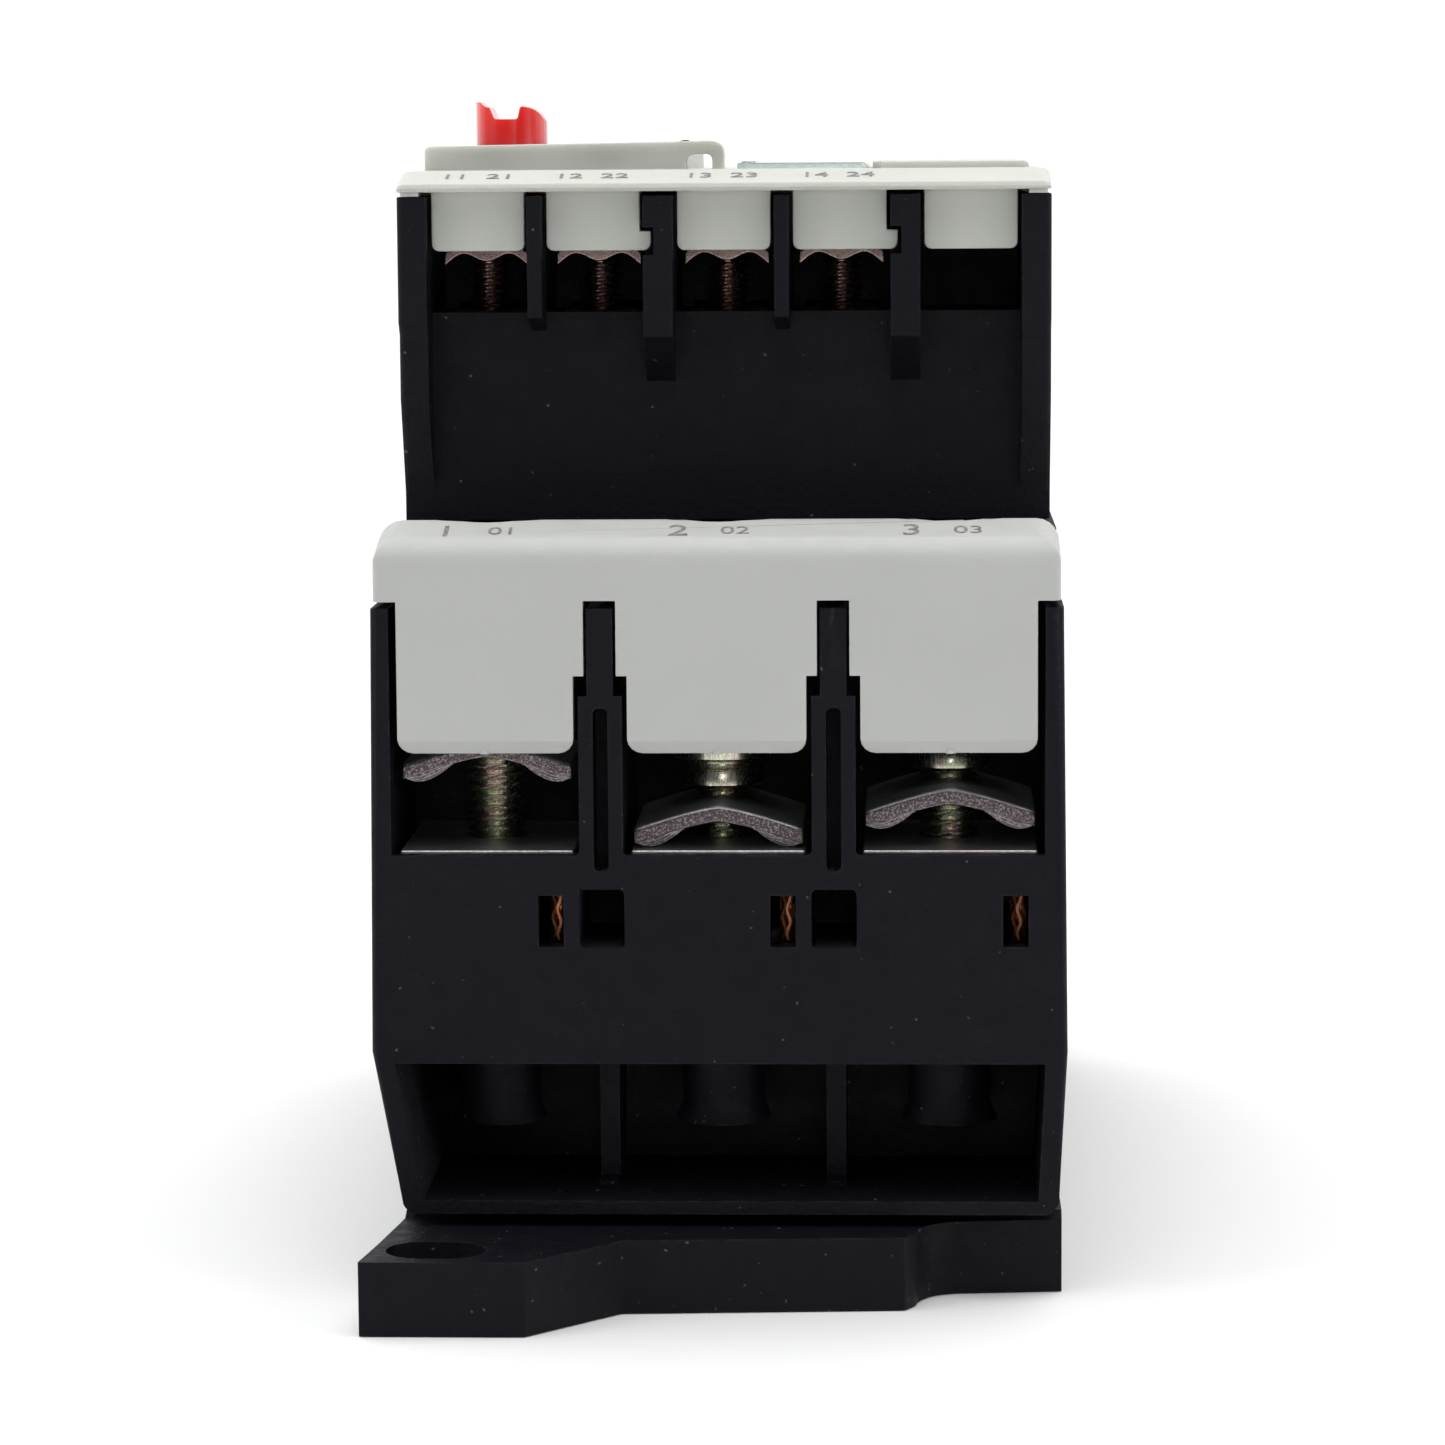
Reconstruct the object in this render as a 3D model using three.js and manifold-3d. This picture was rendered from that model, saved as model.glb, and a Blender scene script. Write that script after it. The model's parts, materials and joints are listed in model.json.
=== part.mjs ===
// A three-pole thermal overload relay on its separate mounting adaptor.
// Millimetres, +Z towards the relay's front face, -Y towards the motor terminals.
// The origin is the centre of the adaptor's back face.
import * as THREE from "three";
import { mergeVertices } from "three/addons/utils/BufferGeometryUtils.js";
import Module from "manifold-3d";

const wasm = await Module();
wasm.setup();

// ---------------------------------------------------------------------------
// Driving dimensions
// ---------------------------------------------------------------------------
const GAP = 0.3; // clearance between neighbouring pieces
const CUT = 1; // how far a cutting shape runs past a face

const POLE_PITCH = 15.15;
const POLES = [-POLE_PITCH, 0, POLE_PITCH];
const POST_X = [-POLE_PITCH / 2, POLE_PITCH / 2]; // walls between the bays

const BASE_THICK = 4.85;
const BASE_HALF_LENGTH = 50;
const SEAT_TOP = 5.4; // pad that the relay stands on

const RELAY_FRONT = -40; // motor-terminal end of the relay
const RELAY_REAR = 20;
const CASING_BOTTOM = 5.7;
const CASING_TOP = 49.6;

const BAY_HALF = 6.15; // half width of a main terminal bay
const BAY_DEPTH = 15.5;
const BAY_FLOOR = 28.2;
const BAY_LIP = 29.55;
const PLATE_BOTTOM = 28.5;
const PLATE_TOP = 29.7;
const POST_WIDE = 2.9;
const POST_NARROW = 1.72;
const POST_SHOULDER = 40.0;
const POST_TOP = 45.7;
const AXIS_INSET = 8.8; // screw axis behind the open end of a bay

const MECH_FRONT = -24; // cheeks and dividers of the upper casing
const MECH_WALL = -20.5; // recessed wall between the cheeks
const MECH_BOTTOM = CASING_TOP + GAP;
const MECH_TOP = 72.1;
const MECH_HALF = 22.13;
const CHEEK_INNER = 20.12;
const AUX_LEDGE = 64.2;
const AUX_POCKET_BACK = -11;
const AUX_AXIS_Y = -15.5;
const AUX_X = [-16.5, -8.75, 0.05, 7.9];
const THIN_DIVIDER_X = [-12.81, 3.91];
const THICK_DIVIDER_X = [-4.45, 12.28];
const THIN_DIVIDER = 1.0;
const THICK_DIVIDER = 2.03;
const MECH_FLOOR_TOP = 51.7;

const FASCIA_BOTTOM = 72.4;
const FASCIA_TOP = 73.8;
const FASCIA_FRONT = -24.5;
const FASCIA_HALF = 22.1;
const BUTTON_BLOCK = { left: -21.4, right: -3.05, front: -12, back: 16 };
const BUTTON_BLOCK_TOP = [75.5, 75.75]; // at its left and right edges
const RAISED_RIGHT = { left: 10.0, right: 20.8, front: -16, back: 17, top: 74.3 };

const STOP = { x: -16.5, y: 3.0, radius: 2.6 };
const RESET = { x: -16.3, y: 11.2, radius: 1.75 };
const DIAL = { x: 5.0, y: 5.0, radius: 3.9 };
const WINDOW = { left: 0.45, right: 9.75, front: -9.8, back: 14.8, bottom: 73.5, top: 74.2 };
const WINDOW_HINGE = { x: 9.2, z: 73.85 };
const SPRING_SEAT = 63.2;
const FLAG = { x: -8, y: -1.0, halfX: 1.2, halfY: 0.6 };

const MAIN_SCREW_RADIUS = 1.95;
const AUX_SCREW_RADIUS = 1.45;
const MAIN_CROWN_DOWN = 32.55; // top of a main clamp that is screwed right down
const MAIN_LIFT = [4.3, 0, 1.15]; // how far each motor-terminal clamp is backed off
const LINE_LIFT = 4.3;
const AUX_CLAMP_Z = 67.65; // underside of an auxiliary clamp at its screw

const LINE_END = 42.5; // open end of the adaptor's terminal block
const ADAPTOR_FRONT = RELAY_REAR + 0.6;

// ---------------------------------------------------------------------------
// Materials
// ---------------------------------------------------------------------------
const material = (color, roughness, metalness = 0, opacity = 1) =>
  new THREE.MeshStandardMaterial({
    color,
    roughness,
    metalness,
    opacity,
    transparent: opacity < 1,
  });
const housingBlack = () => material(0x1b1b1f, 0.62);
const coverGrey = () => material(0xb7b9b5, 0.5);
const fasciaGrey = () => material(0xcfd0ca, 0.48);
const stopRed = () => material(0xdc373c, 0.35);
const resetBlue = () => material(0x2d5fa8, 0.4);
const clearPlastic = () => material(0xc4d8cf, 0.12, 0, 0.4);
const innerPlastic = () => material(0x8b6a3c, 0.55);
const zinc = () => material(0xa9ada6, 0.38, 1);
const screwZinc = () => material(0x9da38a, 0.34, 1);
const brownedCopper = () => material(0x9a6a58, 0.42, 1);
const copper = () => material(0xb06a3e, 0.36, 1);
const bimetal = () => material(0xa7a49a, 0.32, 1);
const resistance = () => material(0x86807a, 0.5, 1);
const springSteel = () => material(0x9b9ea2, 0.35, 1);

// ---------------------------------------------------------------------------
// Solids
// ---------------------------------------------------------------------------
function toSolid(geometry) {
  const plain = geometry.clone();
  plain.deleteAttribute("normal");
  plain.deleteAttribute("uv");
  const merged = mergeVertices(plain, 1e-4);
  return new wasm.Manifold(
    new wasm.Mesh({
      numProp: 3,
      vertProperties: merged.attributes.position.array,
      triVerts: new Uint32Array(merged.index.array),
    }),
  );
}

function toMesh(name, solid, look) {
  const made = solid.getMesh();
  const geometry = new THREE.BufferGeometry();
  geometry.setAttribute("position", new THREE.BufferAttribute(made.vertProperties, 3));
  geometry.setIndex(new THREE.BufferAttribute(made.triVerts, 1));
  geometry.computeVertexNormals();
  const mesh = new THREE.Mesh(geometry, look);
  mesh.name = name;
  return mesh;
}

const addAll = (first, others) => others.reduce((sum, other) => sum.add(other), first);
const cutAll = (first, others) => others.reduce((rest, other) => rest.subtract(other), first);

function block(x0, x1, y0, y1, z0, z1) {
  const geometry = new THREE.BoxGeometry(x1 - x0, y1 - y0, z1 - z0);
  geometry.translate((x0 + x1) / 2, (y0 + y1) / 2, (z0 + z1) / 2);
  return toSolid(geometry);
}

function extrude(points, depth, basis) {
  const shape = new THREE.Shape(points.map(([a, b]) => new THREE.Vector2(a, b)));
  const geometry = new THREE.ExtrudeGeometry(shape, { depth, bevelEnabled: false });
  geometry.applyMatrix4(basis);
  return toSolid(geometry);
}

// Prisms: an outline in the plane across an axis, run from one place on that axis to another.
const prismX = (pointsYZ, x0, x1) =>
  extrude(
    pointsYZ,
    x1 - x0,
    new THREE.Matrix4()
      .makeBasis(new THREE.Vector3(0, 1, 0), new THREE.Vector3(0, 0, 1), new THREE.Vector3(1, 0, 0))
      .setPosition(x0, 0, 0),
  );
const prismY = (pointsXZ, y0, y1) =>
  extrude(
    pointsXZ,
    y1 - y0,
    new THREE.Matrix4()
      .makeBasis(new THREE.Vector3(1, 0, 0), new THREE.Vector3(0, 0, 1), new THREE.Vector3(0, -1, 0))
      .setPosition(0, y1, 0),
  );
const prismZ = (pointsXY, z0, z1) =>
  extrude(pointsXY, z1 - z0, new THREE.Matrix4().makeTranslation(0, 0, z0));

function cone(x, y, lowRadius, highRadius, z0, z1, sides = 24) {
  const geometry = new THREE.CylinderGeometry(highRadius, lowRadius, z1 - z0, sides);
  geometry.rotateX(Math.PI / 2);
  geometry.translate(x, y, (z0 + z1) / 2);
  return toSolid(geometry);
}

const rod = (x, y, radius, z0, z1, sides = 24) => cone(x, y, radius, radius, z0, z1, sides);

function rodAlongY(x, z, radius, y0, y1, sides = 16) {
  const geometry = new THREE.CylinderGeometry(radius, radius, y1 - y0, sides);
  geometry.translate(x, (y0 + y1) / 2, z);
  return toSolid(geometry);
}

function lathe(profile, sides = 20) {
  const geometry = new THREE.LatheGeometry(
    profile.map(([r, z]) => new THREE.Vector2(r, z)),
    sides,
  );
  geometry.rotateX(Math.PI / 2);
  return toSolid(geometry);
}

// Points along a quadratic curve, its start left out.
function curve(start, control, end, steps) {
  const path = new THREE.QuadraticBezierCurve(
    new THREE.Vector2(...start),
    new THREE.Vector2(...control),
    new THREE.Vector2(...end),
  );
  return path
    .getPoints(steps)
    .slice(1)
    .map((p) => [p.x, p.y]);
}

// ---------------------------------------------------------------------------
// Bays and covers, shared by the relay's motor end and the adaptor's line end.
// Both are drawn with the open end at y = 0 and the bays running towards +Y.
// ---------------------------------------------------------------------------
const SIDE_WALL_HALF = 22.5;

// What is cut from a casing to leave three open bays with stepped posts between them.
function bayCuts() {
  const cuts = POLES.map((x) =>
    block(x - BAY_HALF, x + BAY_HALF, CUT, BAY_DEPTH, BAY_FLOOR, CASING_TOP + CUT),
  );
  const mouths = POLES.map((x) =>
    block(x - BAY_HALF, x + BAY_HALF, -CUT, CUT + CUT, BAY_LIP, CASING_TOP + CUT),
  );
  const postSides = POST_X.flatMap((x) =>
    [-1, 1].map((side) => {
      const inner = x + (side * POST_NARROW) / 2;
      const outer = x + side * (POST_WIDE / 2 + GAP);
      const [low, high] = [Math.min(inner, outer), Math.max(inner, outer)];
      return block(low, high, -CUT, BAY_DEPTH, POST_SHOULDER, CASING_TOP + CUT);
    }),
  );
  const head = block(
    -SIDE_WALL_HALF - CUT,
    SIDE_WALL_HALF + CUT,
    -CUT,
    BAY_DEPTH,
    POST_TOP,
    CASING_TOP + CUT,
  );
  const slots = POST_X.map((x) => block(x - 0.48, x + 0.48, -CUT, 3, 28.5, 39.2));
  return [...cuts, ...mouths, ...postSides, ...slots, head];
}

const FINGER_OUTER = 20.8;
const COVER_HALF = 22.3;
const COVER_WALL = 1.4;
const COVER_STEP = 41.3;
const COVER_FRONT_EDGE = 50.0;
const COVER_RIDGE = 51.07;
const COVER_RIDGE_Y = 4.2;
const COVER_BACK_Y = 15.2;
const COVER_DECK = 49.5; // top of the flat part behind the ridge
const FUNNEL = { throat: 3.7, mouth: 4.85, bottom: 49.6 };
const SHOULDER_BOTTOM = 46.15;
const FINGER_BOTTOM = 36.2;
const FINGER_GAP_WIDE = 3.5;
const FINGER_GAP_NARROW = 2.1;

// Three-finger cover with a sloped label strip and three screwdriver funnels.
function coverSolid() {
  const front = block(-FINGER_OUTER, FINGER_OUTER, 0, COVER_WALL, FINGER_BOTTOM, 49);
  const top = prismX(
    [
      [0, 46.9],
      [0, COVER_FRONT_EDGE],
      [COVER_RIDGE_Y, COVER_RIDGE],
      [COVER_RIDGE_Y + 1.2, COVER_RIDGE],
      [COVER_RIDGE_Y + 1.5, COVER_DECK],
      [COVER_BACK_Y, COVER_DECK],
      [COVER_BACK_Y, 48.6],
      [COVER_WALL + 1, 48.6],
      [COVER_WALL, 46.9],
    ],
    -COVER_HALF,
    COVER_HALF,
  );
  const shoulders = [-1, 1].map((side) => {
    const [low, high] = side < 0 ? [-COVER_HALF, -FINGER_OUTER] : [FINGER_OUTER, COVER_HALF];
    return block(low, high, 0, COVER_BACK_Y, SHOULDER_BOTTOM, 49);
  });
  const gaps = POST_X.flatMap((x) => [
    block(x - FINGER_GAP_WIDE / 2, x + FINGER_GAP_WIDE / 2, -CUT, 4, 30, COVER_STEP),
    block(x - FINGER_GAP_NARROW / 2, x + FINGER_GAP_NARROW / 2, -CUT, 4, 30, 46.2),
  ]);
  const funnels = POLES.flatMap((x) => [
    cone(x, AXIS_INSET, FUNNEL.throat, FUNNEL.mouth, FUNNEL.bottom, COVER_RIDGE, 32),
    cone(x, AXIS_INSET, FUNNEL.mouth, FUNNEL.mouth, COVER_RIDGE - 0.001, COVER_RIDGE + CUT, 32),
    rod(x, AXIS_INSET, FUNNEL.throat, 46, 52, 32),
  ]);
  return cutAll(addAll(front, [top, ...shoulders]), [...gaps, ...funnels]);
}

// ---------------------------------------------------------------------------
// Adaptor
// ---------------------------------------------------------------------------
const RAIL_HALF = 17.7; // half width of the channel for a 35 mm rail
const RAIL_DEPTH = 2.3;
const EAR_HOLE = { x: -18.05, y: -46.6, radius: 2.3, halfRun: 0.95 };

// Outline of the base's front half, from its left side round to its right side.
function baseHalfOutline() {
  return [
    [-20.5, 10],
    [-20.5, -33],
    ...curve([-20.5, -33], [-21.6, -43], [-22.75, -BASE_HALF_LENGTH], 6),
    [-12.1, -BASE_HALF_LENGTH],
    [-6.25, -43.9],
    [12.15, -42.8],
    [12.8, -41.7],
    ...curve([12.8, -41.7], [13.2, -38.7], [15.6, -38.2], 6),
    [22.5, -37.5],
    [22.5, -14],
  ];
}

const slotPoints = ({ x, y, radius, halfRun }, sides = 10) =>
  [1, -1].flatMap((end) =>
    Array.from({ length: sides + 1 }, (_, i) => {
      const angle = (end > 0 ? -Math.PI / 2 : Math.PI / 2) + (Math.PI * i) / sides;
      return [x + end * halfRun + radius * Math.cos(angle), y + radius * Math.sin(angle)];
    }),
  );

function adaptorBase() {
  const half = baseHalfOutline();
  const plate = prismZ([...half, ...half.map(([x, y]) => [-x, -y])], 0, BASE_THICK);
  const seatProfile = [
    [-37.6, BASE_THICK - CUT],
    [-37.6, BASE_THICK],
    [-37, SEAT_TOP],
    [RELAY_REAR, SEAT_TOP],
    [RELAY_REAR, BASE_THICK - CUT],
  ];
  const seat = prismX(seatProfile, -25, 25).intersect(plate.scale([1, 1, 2]));
  const tower = block(-SIDE_WALL_HALF + 0.2, SIDE_WALL_HALF - 0.2, ADAPTOR_FRONT, LINE_END, 0, CASING_TOP);
  const bays = bayCuts().map((cut) => cut.rotate([0, 0, 180]).translate([0, LINE_END, 0]));
  const bladeSlots = POLES.map((x) => block(x - 5.9, x + 5.9, ADAPTOR_FRONT + 1.4, 29, BAY_FLOOR, 33));
  const bladeMouths = POLES.map((x) => block(x - 3.1, x + 3.1, ADAPTOR_FRONT - CUT, 24, 29.8, 32));
  const wells = POLES.map((x) => rod(x, LINE_END - AXIS_INSET, 2.25, 14, BAY_FLOOR + CUT, 16));
  const hollows = POLES.map((x) => block(x - 5.9, x + 5.9, 23, 31, -CUT, 25.5));
  const ears = [1, -1].map((turn) => {
    const hole = { ...EAR_HOLE, x: EAR_HOLE.x * turn, y: EAR_HOLE.y * turn };
    return prismZ(slotPoints(hole), -CUT, BASE_THICK + CUT);
  });
  const channel = block(-25, 25, -RAIL_HALF, RAIL_HALF, -CUT, RAIL_DEPTH);
  const clipPocket = addAll(block(-6.3, 6.3, -36.5, -RAIL_HALF + CUT, -CUT, 2.6), [
    block(-7.3, 7.3, -36.5, -RAIL_HALF + CUT, 1.2, 2.6),
  ]);
  const hook = block(-20.4, 20.4, 16.5, 18, 0, 0.9);
  const body = addAll(plate, [seat, tower]);
  const cuts = [...bays, ...bladeSlots, ...bladeMouths, ...wells, ...hollows, ...ears, channel, clipPocket];
  return cutAll(body, cuts).add(hook);
}

// Spring latch that grips the rail's lower flange; it is pulled towards -Y to let go.
function railClip() {
  const body = block(-6, 6, -32.5, -16.5, 0.1, 0.9);
  const upper = block(-6, 6, -32.5, -RAIL_HALF - GAP, 0.1, 2.3);
  const tongues = block(-7, 7, -32.5, -RAIL_HALF - GAP, 1.5, 2.3);
  const pull = block(-2, 2, -31, -28.5, -CUT, 1.2);
  return addAll(body, [upper, tongues]).subtract(pull);
}

// ---------------------------------------------------------------------------
// Relay casings
// ---------------------------------------------------------------------------
const LEAD_OFFSET = 4.25; // copper lead beside each pole's screw
const SNAP = { places: [-12, 12], half: 2.2, inner: 21.3, outer: 22.0, top: 53.2 };

// For each snap tongue, its side of the relay and its place along it.
const snapSpots = () => [-1, 1].flatMap((side) => SNAP.places.map((y) => [side, y]));

function sideBlock(side, inner, outer, y0, y1, z0, z1) {
  return side < 0 ? block(-outer, -inner, y0, y1, z0, z1) : block(inner, outer, y0, y1, z0, z1);
}

function relayCasing() {
  const shell = prismY(
    [
      [-20.3, CASING_BOTTOM],
      [-20.85, 6.2],
      [-22.8, 16.5],
      [-22.45, CASING_TOP],
      [22.45, CASING_TOP],
      [22.8, 16.5],
      [22.25, 6.4],
      [21.6, CASING_BOTTOM],
    ],
    RELAY_FRONT,
    RELAY_REAR,
  );
  const bays = bayCuts().map((cut) => cut.translate([0, RELAY_FRONT, 0]));
  const squareHoles = POST_X.map((x) => block(x - 1.48, x + 1.48, RELAY_FRONT - CUT, -30, 23.45, 27.3));
  const leadSlots = POLES.map((x) => {
    const centre = x + LEAD_OFFSET;
    return block(centre - 0.83, centre + 0.83, RELAY_FRONT - CUT, -38, 23.5, 26.9);
  });
  const leadChannels = POLES.map((x) => {
    const centre = x + LEAD_OFFSET;
    return block(centre - 1.5, centre + 1.5, -38.4, -22, 20.8, BAY_FLOOR + CUT);
  });
  const cuts = [...bays, ...squareHoles, ...leadSlots, ...leadChannels, ...lowerChambers()];
  const opened = cutAll(shell, [...cuts, ...innerCavity()]);
  const wells = POLES.map((x) => screwWell(x));
  const bores = POLES.map((x) => rod(x, RELAY_FRONT + AXIS_INSET, 2.2, 9, BAY_FLOOR + CUT, 16));
  const bladeSlots = POLES.map((x) => block(x - 2.9, x + 2.9, 17, RELAY_REAR + CUT, 29.9, 31.7));
  const tongues = snapSpots().map(([side, y]) =>
    sideBlock(side, SNAP.inner, SNAP.outer, y - SNAP.half, y + SNAP.half, CASING_TOP - CUT, SNAP.top),
  );
  return cutAll(addAll(opened, [...wells, ...tongues]), [...bores, ...bladeSlots]);
}

// The open chambers under the terminals, split by two partitions that stand back from the front.
function lowerChambers() {
  const roof = 15.75;
  const floor = 6.6;
  const across = [
    [-19.55, floor],
    [-21.3, roof],
    [21.35, roof],
    [20.9, floor],
  ];
  const mouth = prismY(across, RELAY_FRONT - CUT, -35.2);
  const partitions = POST_X.map((x) => block(x - 0.65, x + 0.65, -36, -25, floor - CUT, roof + CUT));
  const rooms = cutAll(prismY(across, -35.4, -26), partitions);
  const under = block(-19.3, 20.6, -24.5, 18.2, CASING_BOTTOM - CUT, 14.8);
  return [mouth, rooms, under];
}

// Tube that hangs from the chamber roof and takes the end of a terminal screw.
function screwWell(x) {
  const y = RELAY_FRONT + AXIS_INSET;
  return rod(x, y, 2.75, 10.45, 16.5, 20).add(cone(x, y, 3.2, 2.75, 10.45, 11.6, 20));
}

// Three rooms for the bimetals, with the walls between them lowered where the trip slides cross.
function innerCavity() {
  const rooms = POLES.map((x) => {
    const half = x === 0 ? 6.8 : 6.45;
    const centre = Math.sign(x) * 14.75;
    return block(centre - half, centre + half, -22.5, 18, 17, CASING_TOP + CUT);
  });
  const crossing = block(-21.2, 21.2, -5.5, 5.5, 40, CASING_TOP + CUT);
  return [...rooms, crossing];
}

function cheek(side) {
  const outline = [
    [MECH_WALL + 0.1, 51.6],
    [-22.9, 57.2],
    [-23.3, 58.3],
    [-23.3, 62.6],
    [MECH_FRONT, 63.5],
    [MECH_FRONT, MECH_TOP],
    [MECH_WALL + 0.1, MECH_TOP],
  ];
  const [low, high] = side < 0 ? [-MECH_HALF, -CHEEK_INNER] : [CHEEK_INNER, MECH_HALF];
  return prismX(outline, low, high);
}

function divider(x, width, footFront, footWall) {
  const outline = [
    [MECH_WALL + 0.1, footWall],
    [MECH_FRONT, footFront],
    [MECH_FRONT, MECH_TOP],
    [AUX_POCKET_BACK + 0.1, MECH_TOP],
    [AUX_POCKET_BACK + 0.1, AUX_LEDGE - CUT],
    [MECH_WALL + 0.1, AUX_LEDGE - CUT],
  ];
  return prismX(outline, x - width / 2, x + width / 2);
}

const NOTCH = { depth: 0.75, bottom: 68.1, top: 69.95, back: -20.8 };

function mechanismCasing() {
  const shell = block(-MECH_HALF, MECH_HALF, MECH_WALL, RELAY_REAR, MECH_BOTTOM, MECH_TOP);
  const pocketFront = MECH_WALL - CUT;
  const pocketTop = MECH_TOP + CUT;
  const pocket = block(-CHEEK_INNER, CHEEK_INNER, pocketFront, AUX_POCKET_BACK, AUX_LEDGE, pocketTop);
  const seats = AUX_X.map((x) => block(x - 2.9, x + 2.9, -19.4, -12, 63.1, AUX_LEDGE + CUT));
  const plateSlots = AUX_X.map((x) => block(x - 2.6, x + 2.6, -13, -9, 63.1, 64.6));
  const bores = AUX_X.map((x) => rod(x, AUX_AXIS_Y, 1.75, 55, AUX_LEDGE + CUT, 14));
  const cavity = block(-20.5, 20.5, -9.5, 18.4, MECH_FLOOR_TOP, MECH_TOP + CUT);
  const floorOpening = block(-19, 19, -5, 8, MECH_BOTTOM - CUT, MECH_FLOOR_TOP + CUT);
  const undercut = block(-20.5, 20.5, -19, -8, MECH_BOTTOM - CUT, 53.5);
  const snapRoom = snapSpots().map(([side, y]) => {
    const reach = SNAP.half + GAP;
    const inner = SNAP.inner - GAP;
    return sideBlock(side, inner, MECH_HALF + CUT, y - reach, y + reach, MECH_BOTTOM - CUT, SNAP.top + GAP);
  });
  const openings = [pocket, ...seats, ...plateSlots, ...bores, cavity, floorOpening, undercut];
  const opened = cutAll(shell, [...openings, ...snapRoom]);
  const dividers = [
    ...THIN_DIVIDER_X.map((x) => divider(x, THIN_DIVIDER, 63.9, 62.9)),
    ...THICK_DIVIDER_X.map((x) => divider(x, THICK_DIVIDER, 62.6, 59.35)),
  ];
  const notches = THICK_DIVIDER_X.map((x) => {
    const edge = x - THICK_DIVIDER / 2;
    return block(edge - CUT, edge + NOTCH.depth, MECH_FRONT - CUT, NOTCH.back, NOTCH.bottom, NOTCH.top);
  });
  const shelf = cutAll(block(-21, -11.5, 0.2, 19, 62, SPRING_SEAT), [
    rod(STOP.x, STOP.y, 1.5, 61, 64, 16),
    rod(RESET.x, RESET.y, 1.4, 61, 64, 16),
  ]);
  const leverPost = block(7.2, 9.2, 4.4, 19, LEVER.pivotZ - 1.2, LEVER.pivotZ + 1.2);
  const leverPin = rodAlongY(LEVER.x, LEVER.pivotZ, 0.8, 1.4, 5);
  return cutAll(addAll(opened, [cheek(-1), cheek(1), ...dividers, shelf, leverPost, leverPin]), notches);
}

// ---------------------------------------------------------------------------
// Front fascia
// ---------------------------------------------------------------------------
const TAB = { front: -22.7, back: -21.2, bottom: 68.4, inset: 0.25 };
const ARCH = { right: -0.4, front: -12, back: -10.4, top: 75.8, legs: 0.82, crownZ: 74.85 };

function fasciaTabs() {
  const thin = THIN_DIVIDER / 2 + TAB.inset;
  const thick = THICK_DIVIDER / 2 + TAB.inset;
  const spans = [
    [-CHEEK_INNER + TAB.inset, THIN_DIVIDER_X[0] - thin],
    [THIN_DIVIDER_X[0] + thin, THICK_DIVIDER_X[0] - thick],
    [THICK_DIVIDER_X[0] + thick, THIN_DIVIDER_X[1] - thin],
    [THIN_DIVIDER_X[1] + thin, THICK_DIVIDER_X[1] - thick],
    [THICK_DIVIDER_X[1] + thick, CHEEK_INNER - TAB.inset],
  ];
  const top = FASCIA_BOTTOM + 0.2;
  const tabs = spans.map(([low, high]) => block(low, high, TAB.front, TAB.back, TAB.bottom, top));
  const lugs = THICK_DIVIDER_X.map((x) => {
    const edge = x - THICK_DIVIDER / 2;
    const [inner, outer] = [edge - TAB.inset - CUT, edge + NOTCH.depth - TAB.inset];
    return block(inner, outer, TAB.front, TAB.back, TAB.bottom, NOTCH.top - TAB.inset);
  });
  return [...tabs, ...lugs];
}

// Loop beside the button block that a seal wire goes through.
function sealLoop() {
  const { right, front, back, top, legs, crownZ } = ARCH;
  const left = BUTTON_BLOCK.right - 0.4;
  const outer = prismY(
    [
      [left, FASCIA_TOP - 0.4],
      [right, FASCIA_TOP - 0.4],
      [right, 74.9],
      ...curve([right, 74.9], [right, top], [right - 1.1, top], 5),
      [left, top - 0.05],
    ],
    front,
    back,
  );
  const openLeft = BUTTON_BLOCK.right;
  const openRight = right - legs;
  const opening = prismY(
    [
      [openLeft, FASCIA_TOP],
      [openRight, FASCIA_TOP],
      [openRight, crownZ - 0.45],
      ...curve([openRight, crownZ - 0.45], [openRight, crownZ], [openRight - 0.5, crownZ], 4),
      [openLeft + 0.6, crownZ],
      ...curve([openLeft + 0.6, crownZ], [openLeft, crownZ - 0.1], [openLeft, crownZ - 0.5], 4),
    ],
    front - CUT,
    back + CUT,
  );
  return outer.subtract(opening);
}

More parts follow.
